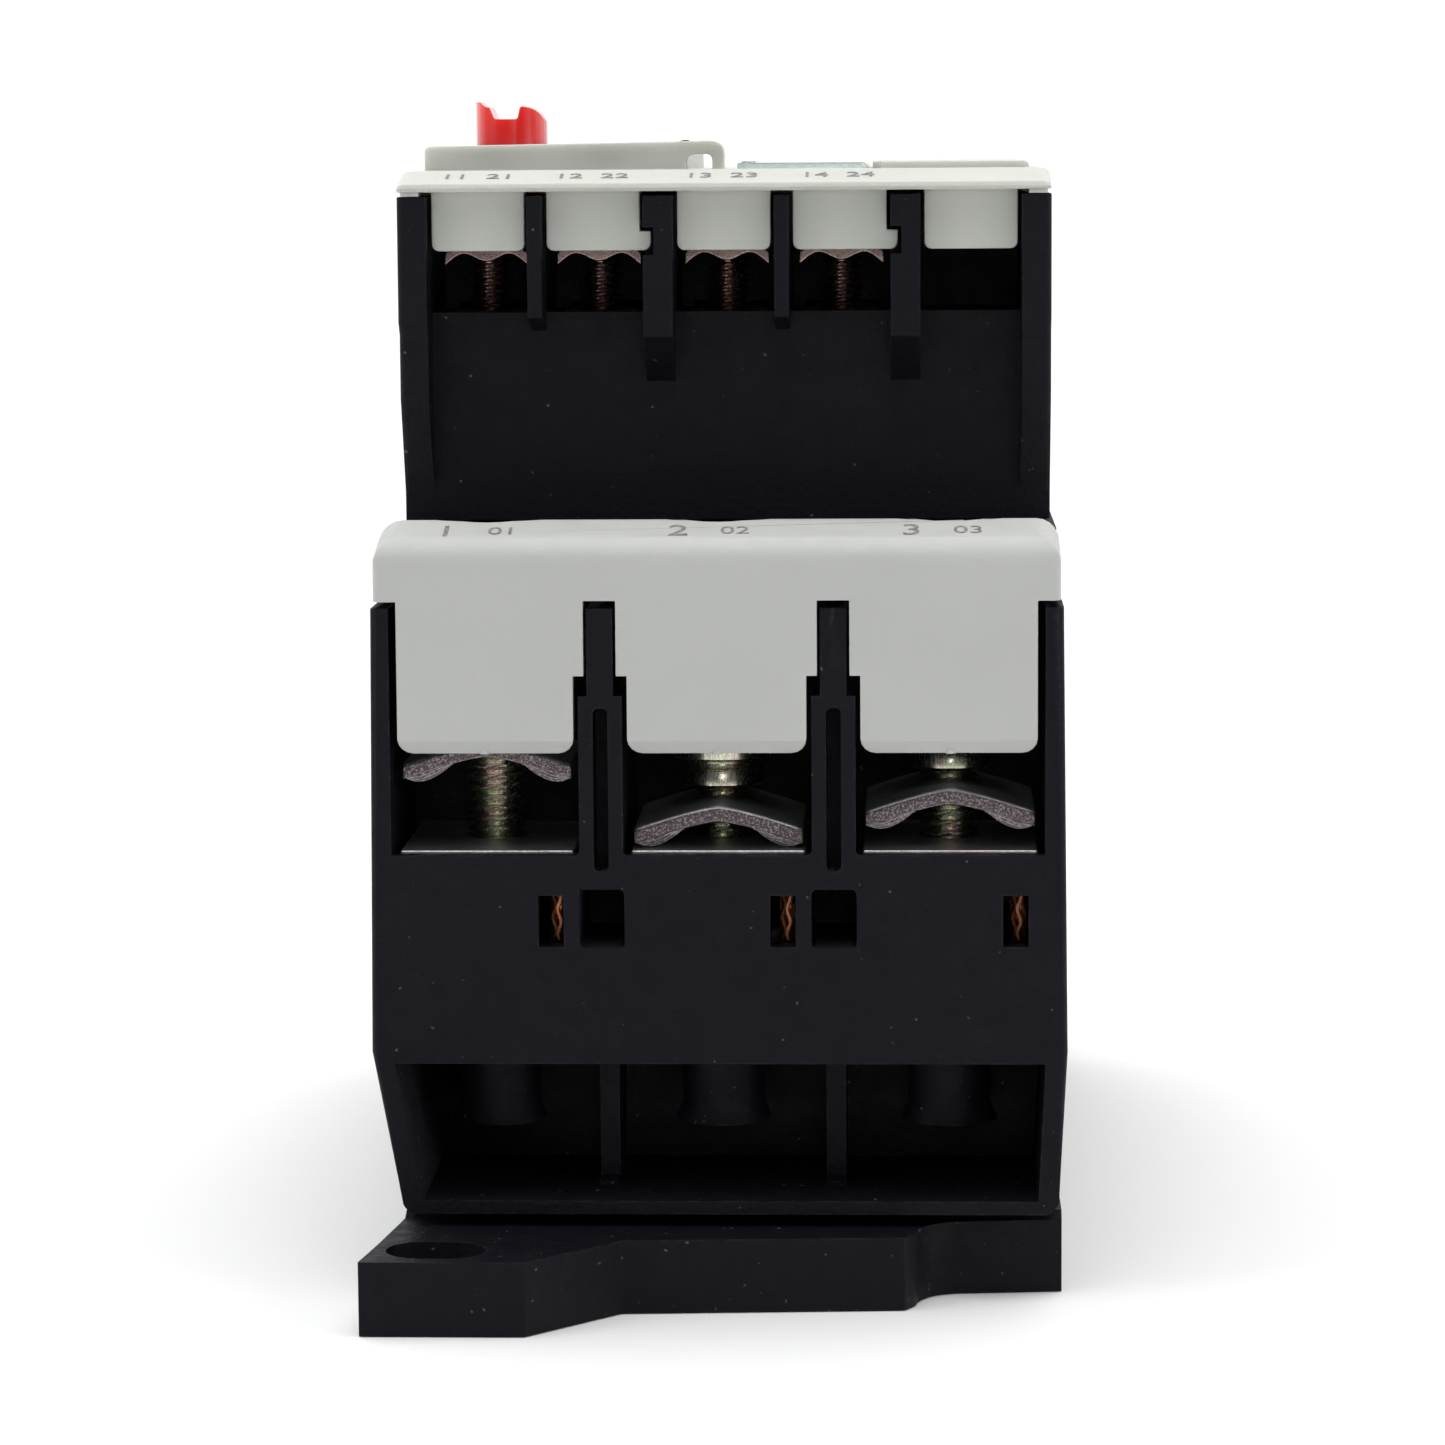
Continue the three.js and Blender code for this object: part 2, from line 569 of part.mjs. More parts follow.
function frontFascia() {
  const sheet = prismX(
    [
      [FASCIA_FRONT, FASCIA_BOTTOM],
      [FASCIA_FRONT, 72.98],
      [-20.7, FASCIA_TOP],
      [RELAY_REAR, FASCIA_TOP],
      [RELAY_REAR, FASCIA_BOTTOM],
    ],
    -FASCIA_HALF,
    FASCIA_HALF,
  );
  const { left, right, front, back } = BUTTON_BLOCK;
  const buttonBlock = prismY(
    [
      [left, FASCIA_TOP - 0.5],
      [right, FASCIA_TOP - 0.5],
      [right, BUTTON_BLOCK_TOP[1]],
      [left, BUTTON_BLOCK_TOP[0]],
    ],
    front,
    back,
  );
  const raised = block(
    RAISED_RIGHT.left,
    RAISED_RIGHT.right,
    RAISED_RIGHT.front,
    RAISED_RIGHT.back,
    FASCIA_TOP - 0.5,
    RAISED_RIGHT.top,
  );
  const windowSeat = block(
    WINDOW.left - GAP,
    RAISED_RIGHT.left,
    WINDOW.front - GAP,
    WINDOW.back + GAP,
    73.1,
    FASCIA_TOP + CUT,
  );
  const access = AUX_X.map((x) => rod(x, AUX_AXIS_Y, 2.75, FASCIA_BOTTOM - CUT, FASCIA_TOP + CUT));
  const buttonHoles = [
    rod(STOP.x, STOP.y, STOP.radius + 0.2, FASCIA_BOTTOM - CUT, 77),
    rod(RESET.x, RESET.y, 3.1, FASCIA_BOTTOM - CUT, 77),
    rod(DIAL.x, DIAL.y, DIAL.radius + 0.25, FASCIA_BOTTOM - CUT, 77),
  ];
  const flagWindow = block(
    FLAG.x - FLAG.halfX - GAP,
    FLAG.x + FLAG.halfX + GAP,
    FLAG.y - FLAG.halfY - GAP,
    FLAG.y + FLAG.halfY + GAP,
    FASCIA_BOTTOM - CUT,
    77,
  );
  const body = addAll(sheet, [buttonBlock, raised, ...fasciaTabs()]);
  return cutAll(body, [windowSeat, ...access, ...buttonHoles, flagWindow]).add(sealLoop());
}

function windowCover() {
  const { left, right, front, back, bottom, top } = WINDOW;
  const pane = block(left, WINDOW_HINGE.x, front, back, bottom, top);
  const barrel = rodAlongY(WINDOW_HINGE.x, WINDOW_HINGE.z, 0.38, front, back, 12);
  const lip = block(left, left + 1, front + 8, back - 8, top - 0.1, top + 0.1);
  const reach = block(WINDOW_HINGE.x - 0.2, right - 0.45, front, back, WINDOW_HINGE.z - 0.25, top - 0.05);
  return addAll(pane, [barrel, lip, reach]);
}

// ---------------------------------------------------------------------------
// Buttons, selector and dial
// ---------------------------------------------------------------------------
const FLANGE = { bottom: 70.4, top: 71.4 };

function stopButton() {
  const r = STOP.radius;
  const cap = rod(0, 0, r, FLANGE.bottom, 78.8, 32);
  const crown = prismY(
    [
      [-r - CUT, FLANGE.bottom - CUT],
      [r + CUT, FLANGE.bottom - CUT],
      [r + CUT, 76.6],
      ...curve([r, 77.0], [2.3, 78.25], [1.0, 78.38], 5),
      [0.78, 78.32],
      [0.62, 77.55],
      [0.5, 77.46],
      [-1.0, 77.46],
      [-1.12, 77.55],
      [-1.45, 78.3],
      [-1.75, 78.36],
      ...curve([-1.95, 78.38], [-2.1, 78.72], [-2.35, 78.72], 4),
      [-2.58, 78.6],
      [-r - CUT, 78.5],
    ],
    -r - CUT,
    r + CUT,
  );
  const flange = rod(0, 0, 3.3, FLANGE.bottom, FLANGE.top, 24);
  const stem = rod(0, 0, 1.2, 60.2, FLANGE.bottom + CUT, 16);
  return addAll(cap.intersect(crown), [flange, stem]);
}

function resetButton() {
  const cap = rod(0, 0, RESET.radius, 68.5, 75.15, 24);
  const flange = rod(0, 0, 2.5, 68.2, 69.2, 20);
  const stem = rod(0, 0, 1.1, 60.2, 69, 16);
  return addAll(cap, [flange, stem]);
}

function modeSelector() {
  const outer = rod(0, 0, 2.9, 69.9, 75.35, 32);
  const flange = rod(0, 0, 3.5, FLANGE.bottom, FLANGE.top, 24);
  const bore = rod(0, 0, RESET.radius + 0.15, 69, 77, 24);
  const pointer = block(-0.35, 0.35, 1.8, 4, 74.9, 76);
  return outer.add(flange).subtract(bore).subtract(pointer);
}

// A coil spring's space: a sleeve between the seat and the button's flange.
function springSleeve(inner, outer, z0, z1) {
  return rod(0, 0, outer, z0, z1, 16).subtract(rod(0, 0, inner, z0 - CUT, z1 + CUT, 16));
}

function currentDial() {
  const cap = rod(0, 0, DIAL.radius, 71.2, 73.0, 40);
  const flange = rod(0, 0, 4.6, 70.2, 71.3, 32);
  const shaft = rod(0, 0, 1.6, 60.5, 70.3, 16);
  const cam = rod(0, 0.5, 1.9, 58.5, 60.6, 20);
  const slot = block(-2.6, 2.6, -0.5, 0.5, 72.2, 74);
  return addAll(cap, [flange, shaft, cam]).subtract(slot);
}

// ---------------------------------------------------------------------------
// Screws, clamps and plates
// ---------------------------------------------------------------------------
// Screw drawn with z = 0 at the clamp's crown.
function mainScrew() {
  const r = MAIN_SCREW_RADIUS;
  const body = lathe([
    [0, -13.4],
    [1.4, -13.4],
    [r, -12.7],
    [r, 0.55],
    [2.8, 0.6],
    [2.8, 1.9],
    [2.45, 2.0],
    [2.45, 2.3],
    [3.3, 2.4],
    [3.3, 4.3],
    [2.9, 4.7],
    [0, 4.7],
  ]);
  return cutAll(body, [block(-2, 2, -0.45, 0.45, 3.0, 6), block(-0.45, 0.45, -2, 2, 3.0, 6)]);
}

function auxScrew() {
  const r = AUX_SCREW_RADIUS;
  const body = lathe(
    [
      [0, -9.5],
      [1.0, -9.5],
      [r, -8.9],
      [r, 1.4],
      [2.5, 1.45],
      [2.5, 2.8],
      [2.1, 3.2],
      [0, 3.2],
    ],
    16,
  );
  return cutAll(body, [block(-1.5, 1.5, -0.35, 0.35, 2.1, 4), block(-0.35, 0.35, -1.5, 1.5, 2.1, 4)]);
}

const CLAMP_HALF = 5.55;
const CLAMP_THICK = 1.05;
const CLAMP_DROP = 1.5;
const CLAMP_HEIGHT = 2.75;
const clampTop = (x) => -CLAMP_DROP * (Math.abs(x) / CLAMP_HALF) ** 1.3;

// Saddle clamp: an arched strip with a wire pad bulging under each wing, drawn with z = 0 at its crown.
function mainClamp() {
  const steps = 12;
  const along = Array.from({ length: steps + 1 }, (_, i) => -CLAMP_HALF + (2 * CLAMP_HALF * i) / steps);
  const strip = prismY(
    [
      ...along.map((x) => [x, clampTop(x) - CLAMP_THICK]),
      ...along.reverse().map((x) => [x, clampTop(x)]),
    ],
    -6.9,
    4.4,
  );
  const pads = [-1, 1].map((side) => {
    const inner = [side * 2.0, clampTop(2.0) - CLAMP_THICK + 0.1];
    const outer = [side * CLAMP_HALF, clampTop(CLAMP_HALF) - CLAMP_THICK + 0.1];
    const low = [side * 4.2, -CLAMP_HEIGHT - 0.72];
    const outline = [inner, ...curve(inner, low, outer, 7)];
    return prismY(side < 0 ? outline.reverse() : outline, -6.6, 4.2);
  });
  return addAll(strip, pads).subtract(rod(0, 0, 2.15, -5, 2, 20));
}

// Wavy auxiliary clamp, drawn with z = 0 under its screw.
function auxClamp() {
  const half = 2.9;
  const wave = (x) => 0.32 * (1 - Math.cos((Math.PI * x) / 1.7)) - 0.05 * x * x;
  const along = Array.from({ length: 13 }, (_, i) => -half + (2 * half * i) / 12);
  const strip = prismY(
    [...along.map((x) => [x, wave(x)]), ...along.reverse().map((x) => [x, wave(x) + 0.8])],
    -3.4,
    3.0,
  );
  return strip.subtract(rod(0, 0, 1.6, -2, 3, 16));
}

const terminalPlate = (y0, y1, holeY) =>
  block(-5.7, 5.7, y0, y1, PLATE_BOTTOM, PLATE_TOP).subtract(rod(0, holeY, 2.1, 27, 31, 20));

// Auxiliary terminal plate; its inner end is one fixed contact.
function auxPlate() {
  const seat = block(-2.6, 2.6, -19.2, -12.5, 63.4, AUX_LEDGE);
  const tail = block(-2.2, 2.2, -13, -4.6, 63.4, AUX_LEDGE);
  return seat.add(tail).subtract(rod(0, AUX_AXIS_Y, 1.6, 62, 66, 16));
}

// ---------------------------------------------------------------------------
// Thermal system and trip mechanism
// ---------------------------------------------------------------------------
function bimetalStrip() {
  const strip = block(-0.45, 0.45, -3, 3, 17.3, 38.5);
  const tip = block(-0.45, 0.45, -1.4, 1.4, 38, 45.2);
  const foot = block(-0.45, 3.0, -3, 3, 17.3, 18.4);
  return addAll(strip, [tip, foot]);
}

// Resistance winding round the bimetal, with the copper lead that runs to the motor terminal.
function heaterWinding() {
  const sleeve = block(-1.7, 1.7, -4, 4, 20, 37).subtract(block(-0.75, 0.75, -3.3, 3.3, 19, 38));
  const low = LEAD_OFFSET - 1;
  const high = LEAD_OFFSET + 1;
  const link = block(1.5, high, -3.2, -1.8, 21.5, 22.5);
  const run = block(low, high, -37.6, -1.8, 21.5, 22.5);
  const riser = block(low, high, -37.6, -36.8, 21.5, 27.9);
  return addAll(sleeve, [link, run, riser]);
}

function lineBlade() {
  const blade = block(-2.6, 2.6, 4.5, 27.5, 30.2, 31.4);
  const tail = block(-2.6, 2.6, 4.5, 5.5, 30.2, 37);
  return blade.add(tail);
}

const SLIDE_TRAVEL_ROOM = 2.75; // slot on the far side of each bimetal tip
const PULL_SLIDE_Z = [42.9, 44.1];
const DIFF_SLIDE_Z = [41.2, 42.4];

function slideBar([z0, z1]) {
  const slots = POLES.map((x) => block(x - SLIDE_TRAVEL_ROOM, x + 0.75, -1.8, 1.8, z0 - CUT, z1 + CUT));
  return cutAll(block(-19.5, 18.8, -2.9, 2.9, z0, z1), slots);
}

const LEVER = { x: 8.2, pivotZ: 57, y0: 2.0, y1: 3.2 };

const tripSlide = () => slideBar(PULL_SLIDE_Z).add(block(5.9, 7.1, 1.7, 2.9, PULL_SLIDE_Z[0], 47.6));
const differentialSlide = () => slideBar(DIFF_SLIDE_Z);

function compensationLever() {
  const { x, pivotZ, y0, y1 } = LEVER;
  const arm = block(x - 0.7, x + 0.7, y0, y1, 46, 67);
  const boss = rodAlongY(x, pivotZ, 1.8, y0, y1, 20);
  return arm.add(boss).subtract(rodAlongY(x, pivotZ, 0.95, y0 - CUT, y1 + CUT, 20));
}

const NC_ARM_X = -12.6;
const NO_ARM_X = 4.0;

function contactCarrier() {
  const bar = block(-18.5, 10, -3.6, -1.6, 59.9, 66.4);
  const ncArm = block(NC_ARM_X - 0.6, NC_ARM_X + 0.6, -7.6, -3, 65.4, 66.4);
  const noArm = block(NO_ARM_X - 0.6, NO_ARM_X + 0.6, -7.6, -3, 59.9, 61.0);
  const { x, y, halfX, halfY } = FLAG;
  const flag = block(x - halfX, x + halfX, y - halfY, y + halfY, 62, 74.3);
  return addAll(bar, [ncArm, noArm, flag]);
}

const ncBridge = () => block(-18, -7.2, -7.4, -5.4, 64.5, 65.1);
const noBridge = () => block(-1.5, 9.5, -7.4, -5.4, 61.3, 61.9);

// ---------------------------------------------------------------------------
// Assembly
// ---------------------------------------------------------------------------
const device = new THREE.Group();
const adaptor = new THREE.Group();
const relay = new THREE.Group();
device.add(adaptor, relay);

function place(group, mesh, x = 0, y = 0, z = 0, turn = 0) {
  mesh.position.set(x, y, z);
  mesh.rotation.z = turn;
  group.add(mesh);
}

place(adaptor, toMesh("adaptor_base", adaptorBase(), housingBlack()));
place(adaptor, toMesh("adaptor_cover", coverSolid(), housingBlack()), 0, LINE_END, 0, Math.PI);
place(adaptor, toMesh("rail_clip", railClip(), innerPlastic()));
place(relay, toMesh("relay_casing", relayCasing(), housingBlack()));
place(relay, toMesh("mechanism_casing", mechanismCasing(), housingBlack()));
place(relay, toMesh("front_fascia", frontFascia(), fasciaGrey()));
place(relay, toMesh("terminal_cover", coverSolid(), coverGrey()), 0, RELAY_FRONT);
place(relay, toMesh("window_cover", windowCover(), clearPlastic()));

const loadPlate = terminalPlate(-38.7, -25.2, RELAY_FRONT + AXIS_INSET);
const linePlate = terminalPlate(22.6, 41.2, LINE_END - AXIS_INSET);
POLES.forEach((x, i) => {
  const n = i + 1;
  const loadY = RELAY_FRONT + AXIS_INSET;
  const lineY = LINE_END - AXIS_INSET;
  const loadZ = MAIN_CROWN_DOWN + MAIN_LIFT[i];
  const lineZ = MAIN_CROWN_DOWN + LINE_LIFT;
  place(relay, toMesh(`load_terminal_plate_${n}`, loadPlate, zinc()), x);
  place(relay, toMesh(`main_clamp_${n}`, mainClamp(), zinc()), x, loadY, loadZ);
  place(relay, toMesh(`main_screw_${n}`, mainScrew(), screwZinc()), x, loadY, loadZ);
  place(relay, toMesh(`bimetal_strip_${n}`, bimetalStrip(), bimetal()), x);
  place(relay, toMesh(`heater_winding_${n}`, heaterWinding(), resistance()), x);
  place(relay, toMesh(`line_blade_${n}`, lineBlade(), copper()), x);
  place(adaptor, toMesh(`line_terminal_plate_${n}`, linePlate, zinc()), x);
  place(adaptor, toMesh(`line_clamp_${n}`, mainClamp(), zinc()), x, lineY, lineZ, Math.PI);
  place(adaptor, toMesh(`line_screw_${n}`, mainScrew(), screwZinc()), x, lineY, lineZ, Math.PI);
});

AUX_X.forEach((x, i) => {
  const n = i + 1;
  place(relay, toMesh(`aux_terminal_plate_${n}`, auxPlate(), brownedCopper()), x);
  place(relay, toMesh(`aux_clamp_${n}`, auxClamp(), brownedCopper()), x, AUX_AXIS_Y, AUX_CLAMP_Z);
  place(relay, toMesh(`aux_screw_${n}`, auxScrew(), brownedCopper()), x, AUX_AXIS_Y, AUX_CLAMP_Z);
});

place(relay, toMesh("stop_button", stopButton(), stopRed()), STOP.x, STOP.y);
const stopSpring = springSleeve(1.5, 2.3, SPRING_SEAT + 0.1, FLANGE.bottom - 0.1);
place(relay, toMesh("stop_spring", stopSpring, springSteel()), STOP.x, STOP.y);
place(relay, toMesh("reset_button", resetButton(), resetBlue()), RESET.x, RESET.y);
const resetSpring = springSleeve(1.4, 2.1, SPRING_SEAT + 0.1, 68.1);
place(relay, toMesh("reset_spring", resetSpring, springSteel()), RESET.x, RESET.y);
place(relay, toMesh("mode_selector", modeSelector(), resetBlue()), RESET.x, RESET.y);
place(relay, toMesh("current_dial", currentDial(), coverGrey()), DIAL.x, DIAL.y);
place(relay, toMesh("trip_slide", tripSlide(), innerPlastic()));
place(relay, toMesh("differential_slide", differentialSlide(), innerPlastic()));
place(relay, toMesh("compensation_lever", compensationLever(), bimetal()));
place(relay, toMesh("contact_carrier", contactCarrier(), innerPlastic()));
place(relay, toMesh("nc_bridge", ncBridge(), copper()));
place(relay, toMesh("no_bridge", noBridge(), copper()));

export default device;
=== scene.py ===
"""A three-pole thermal overload relay on its mounting adaptor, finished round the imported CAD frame.

Shapes are drawn in millimetres and turned into metres when a piece is made.
"""

import json  # noqa: E402
import math  # noqa: E402

import bmesh  # noqa: E402
import bpy  # noqa: E402
from mathutils import Matrix, Vector  # noqa: E402
from mathutils.bvhtree import BVHTree  # noqa: E402

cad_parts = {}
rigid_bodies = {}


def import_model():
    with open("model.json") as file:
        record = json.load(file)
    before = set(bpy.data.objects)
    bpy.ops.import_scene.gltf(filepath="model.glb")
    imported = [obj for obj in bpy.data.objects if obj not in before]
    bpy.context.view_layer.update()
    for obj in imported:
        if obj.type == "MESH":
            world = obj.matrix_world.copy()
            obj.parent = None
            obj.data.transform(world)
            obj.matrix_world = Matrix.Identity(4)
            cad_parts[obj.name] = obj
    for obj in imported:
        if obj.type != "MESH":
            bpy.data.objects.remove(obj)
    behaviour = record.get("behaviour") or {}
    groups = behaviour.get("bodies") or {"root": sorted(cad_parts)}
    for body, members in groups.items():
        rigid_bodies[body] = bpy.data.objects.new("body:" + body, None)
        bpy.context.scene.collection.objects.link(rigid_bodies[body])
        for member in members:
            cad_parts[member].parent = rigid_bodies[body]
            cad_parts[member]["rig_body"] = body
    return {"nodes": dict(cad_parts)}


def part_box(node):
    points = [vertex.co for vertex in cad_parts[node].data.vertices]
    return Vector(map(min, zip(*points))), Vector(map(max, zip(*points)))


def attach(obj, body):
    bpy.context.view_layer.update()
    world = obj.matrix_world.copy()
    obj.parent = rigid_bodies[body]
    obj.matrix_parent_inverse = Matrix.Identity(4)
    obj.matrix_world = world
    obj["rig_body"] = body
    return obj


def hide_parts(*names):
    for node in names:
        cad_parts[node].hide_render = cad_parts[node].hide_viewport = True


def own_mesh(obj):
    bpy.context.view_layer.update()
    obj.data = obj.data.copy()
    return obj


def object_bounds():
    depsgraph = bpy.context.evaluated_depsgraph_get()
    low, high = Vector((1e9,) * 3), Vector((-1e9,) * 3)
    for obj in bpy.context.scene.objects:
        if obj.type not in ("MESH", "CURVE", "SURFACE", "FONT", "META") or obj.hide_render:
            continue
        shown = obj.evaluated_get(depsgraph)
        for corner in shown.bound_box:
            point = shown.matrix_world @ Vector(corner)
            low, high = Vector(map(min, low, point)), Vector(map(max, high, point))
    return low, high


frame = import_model()
cad_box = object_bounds()

MM = 0.001
POLES = (1, 2, 3)
AUX_TERMINALS = (1, 2, 3, 4)
SIDES = (-1, 1)


def node_box(node):
    """Lowest and highest corner of a CAD node at rest, in millimetres."""
    low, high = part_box(node)
    return low / MM, high / MM


def node_middle(node):
    low, high = node_box(node)
    return (low + high) / 2


# ---------------------------------------------------------------------------
# Camera, light and floor
# ---------------------------------------------------------------------------
CAMERA_PLACE = (12.6, -337.5, 75.1)
CAMERA_YAW = math.radians(2.35)
CAMERA_PITCH = math.radians(7.05)
CAMERA_ROLL = math.radians(0.38)
CAMERA_FIELD_OF_VIEW = math.radians(17.75)
CAMERA_REACH = (0.01, 20)  # nearest and farthest distance it sees, in metres

# Lamps in metres and watts: name, place, target, width, power, colour
STUDIO_CENTRE = (0, 0, 0.04)
LAMPS = (
    ("top_softbox", (0.0, -0.42, 0.75), STUDIO_CENTRE, 0.5, 1.5, (1, 1, 1)),
    ("left_softbox", (-0.75, -0.36, 0.35), STUDIO_CENTRE, 0.4, 1.6, (0.94, 0.97, 1.0)),
    ("right_softbox", (0.75, -0.36, 0.3), STUDIO_CENTRE, 0.4, 1.4, (1, 1, 1)),
    ("front_card", (0.06, -0.85, 0.22), (0, -0.03, 0.04), 0.16, 0.38, (1, 1, 1)),
)
CEILING_STRENGTH = 1.7
CEILING_SPREAD = math.radians(60)

# The surroundings go from dim on the camera's side to bright behind the object: direction along Y, strength
DIM_SIDE = (-0.6, 0.10)
BRIGHT_SIDE = (0.5, 1.1)

FLOOR_RADIUS = 0.7
FLOOR_GAP = 0.05  # millimetres below the adaptor
FLOOR_GREY = (0.86, 0.86, 0.86)


def make_camera():
    """Stands in front of the motor terminals, a little above the middle, turned slightly left."""
    level = math.cos(CAMERA_PITCH)
    forward = Vector((-math.sin(CAMERA_YAW) * level, math.cos(CAMERA_YAW) * level, -math.sin(CAMERA_PITCH)))
    right = Vector((math.cos(CAMERA_YAW), math.sin(CAMERA_YAW), 0))
    up = right.cross(forward)
    tilted_right = right * math.cos(CAMERA_ROLL) - up * math.sin(CAMERA_ROLL)
    tilted_up = right * math.sin(CAMERA_ROLL) + up * math.cos(CAMERA_ROLL)
    data = bpy.data.cameras.new("camera")
    data.angle = CAMERA_FIELD_OF_VIEW
    data.clip_start, data.clip_end = CAMERA_REACH
    camera = bpy.data.objects.new("camera", data)
    bpy.context.scene.collection.objects.link(camera)
    turn = Matrix((tilted_right, tilted_up, -forward)).transposed()
    camera.matrix_world = Matrix.Translation(Vector(CAMERA_PLACE) * MM) @ turn.to_4x4()
    bpy.context.scene.camera = camera


def make_lamp(name, place, target, width, power, colour):
    data = bpy.data.lights.new(name, "AREA")
    data.shape = "DISK"
    data.size = width
    data.energy = power
    data.color = colour
    lamp = bpy.data.objects.new(name, data)
    bpy.context.scene.collection.objects.link(lamp)
    aim = Vector(target) - Vector(place)
    lamp.matrix_world = Matrix.Translation(place) @ aim.to_track_quat("-Z", "Y").to_matrix().to_4x4()


def make_ceiling():
    """Even light from above that keeps the floor white and its shadows soft."""
    data = bpy.data.lights.new("ceiling", "SUN")
    data.energy = CEILING_STRENGTH
    data.angle = CEILING_SPREAD
    ceiling = bpy.data.objects.new("ceiling", data)
    bpy.context.scene.collection.objects.link(ceiling)


def make_surroundings():
    world = bpy.data.worlds.new("studio")
    bpy.context.scene.world = world
    world.use_nodes = True
    nodes, links = world.node_tree.nodes, world.node_tree.links
    nodes.clear()
    direction = nodes.new("ShaderNodeTexCoord").outputs["Generated"]
    split = nodes.new("ShaderNodeSeparateXYZ")
    links.new(direction, split.inputs["Vector"])
    strength = nodes.new("ShaderNodeMapRange")
    strength.interpolation_type = "SMOOTHSTEP"
    strength.inputs["From Min"].default_value, strength.inputs["To Min"].default_value = DIM_SIDE
    strength.inputs["From Max"].default_value, strength.inputs["To Max"].default_value = BRIGHT_SIDE
    links.new(split.outputs["Y"], strength.inputs["Value"])
    sky = nodes.new("ShaderNodeBackground")
    sky.inputs["Color"].default_value = (1.0, 1.0, 1.0, 1.0)
    links.new(strength.outputs["Result"], sky.inputs["Strength"])
    output = nodes.new("ShaderNodeOutputWorld")
    links.new(sky.outputs["Background"], output.inputs["Surface"])


def make_studio():
    bpy.context.scene.view_settings.view_transform = "Standard"
    make_surroundings()
    for lamp in LAMPS:
        make_lamp(*lamp)
    make_ceiling()


def make_floor():
    bm = bmesh.new()
    bmesh.ops.create_circle(bm, cap_ends=True, segments=64, radius=FLOOR_RADIUS)
    mesh = bpy.data.meshes.new("floor")
    bm.to_mesh(mesh)
    bm.free()
    floor = bpy.data.objects.new("floor", mesh)
    floor.location.z = cad_box[0].z - FLOOR_GAP * MM
    bpy.context.scene.collection.objects.link(floor)
    look = Look("floor_paper", FLOOR_GREY, roughness=0.9)
    look.paint(look.mix(look.noise(size=40, detail=2), (0.85, 0.85, 0.85), (0.88, 0.88, 0.88)))
    floor.data.materials.append(look.material)


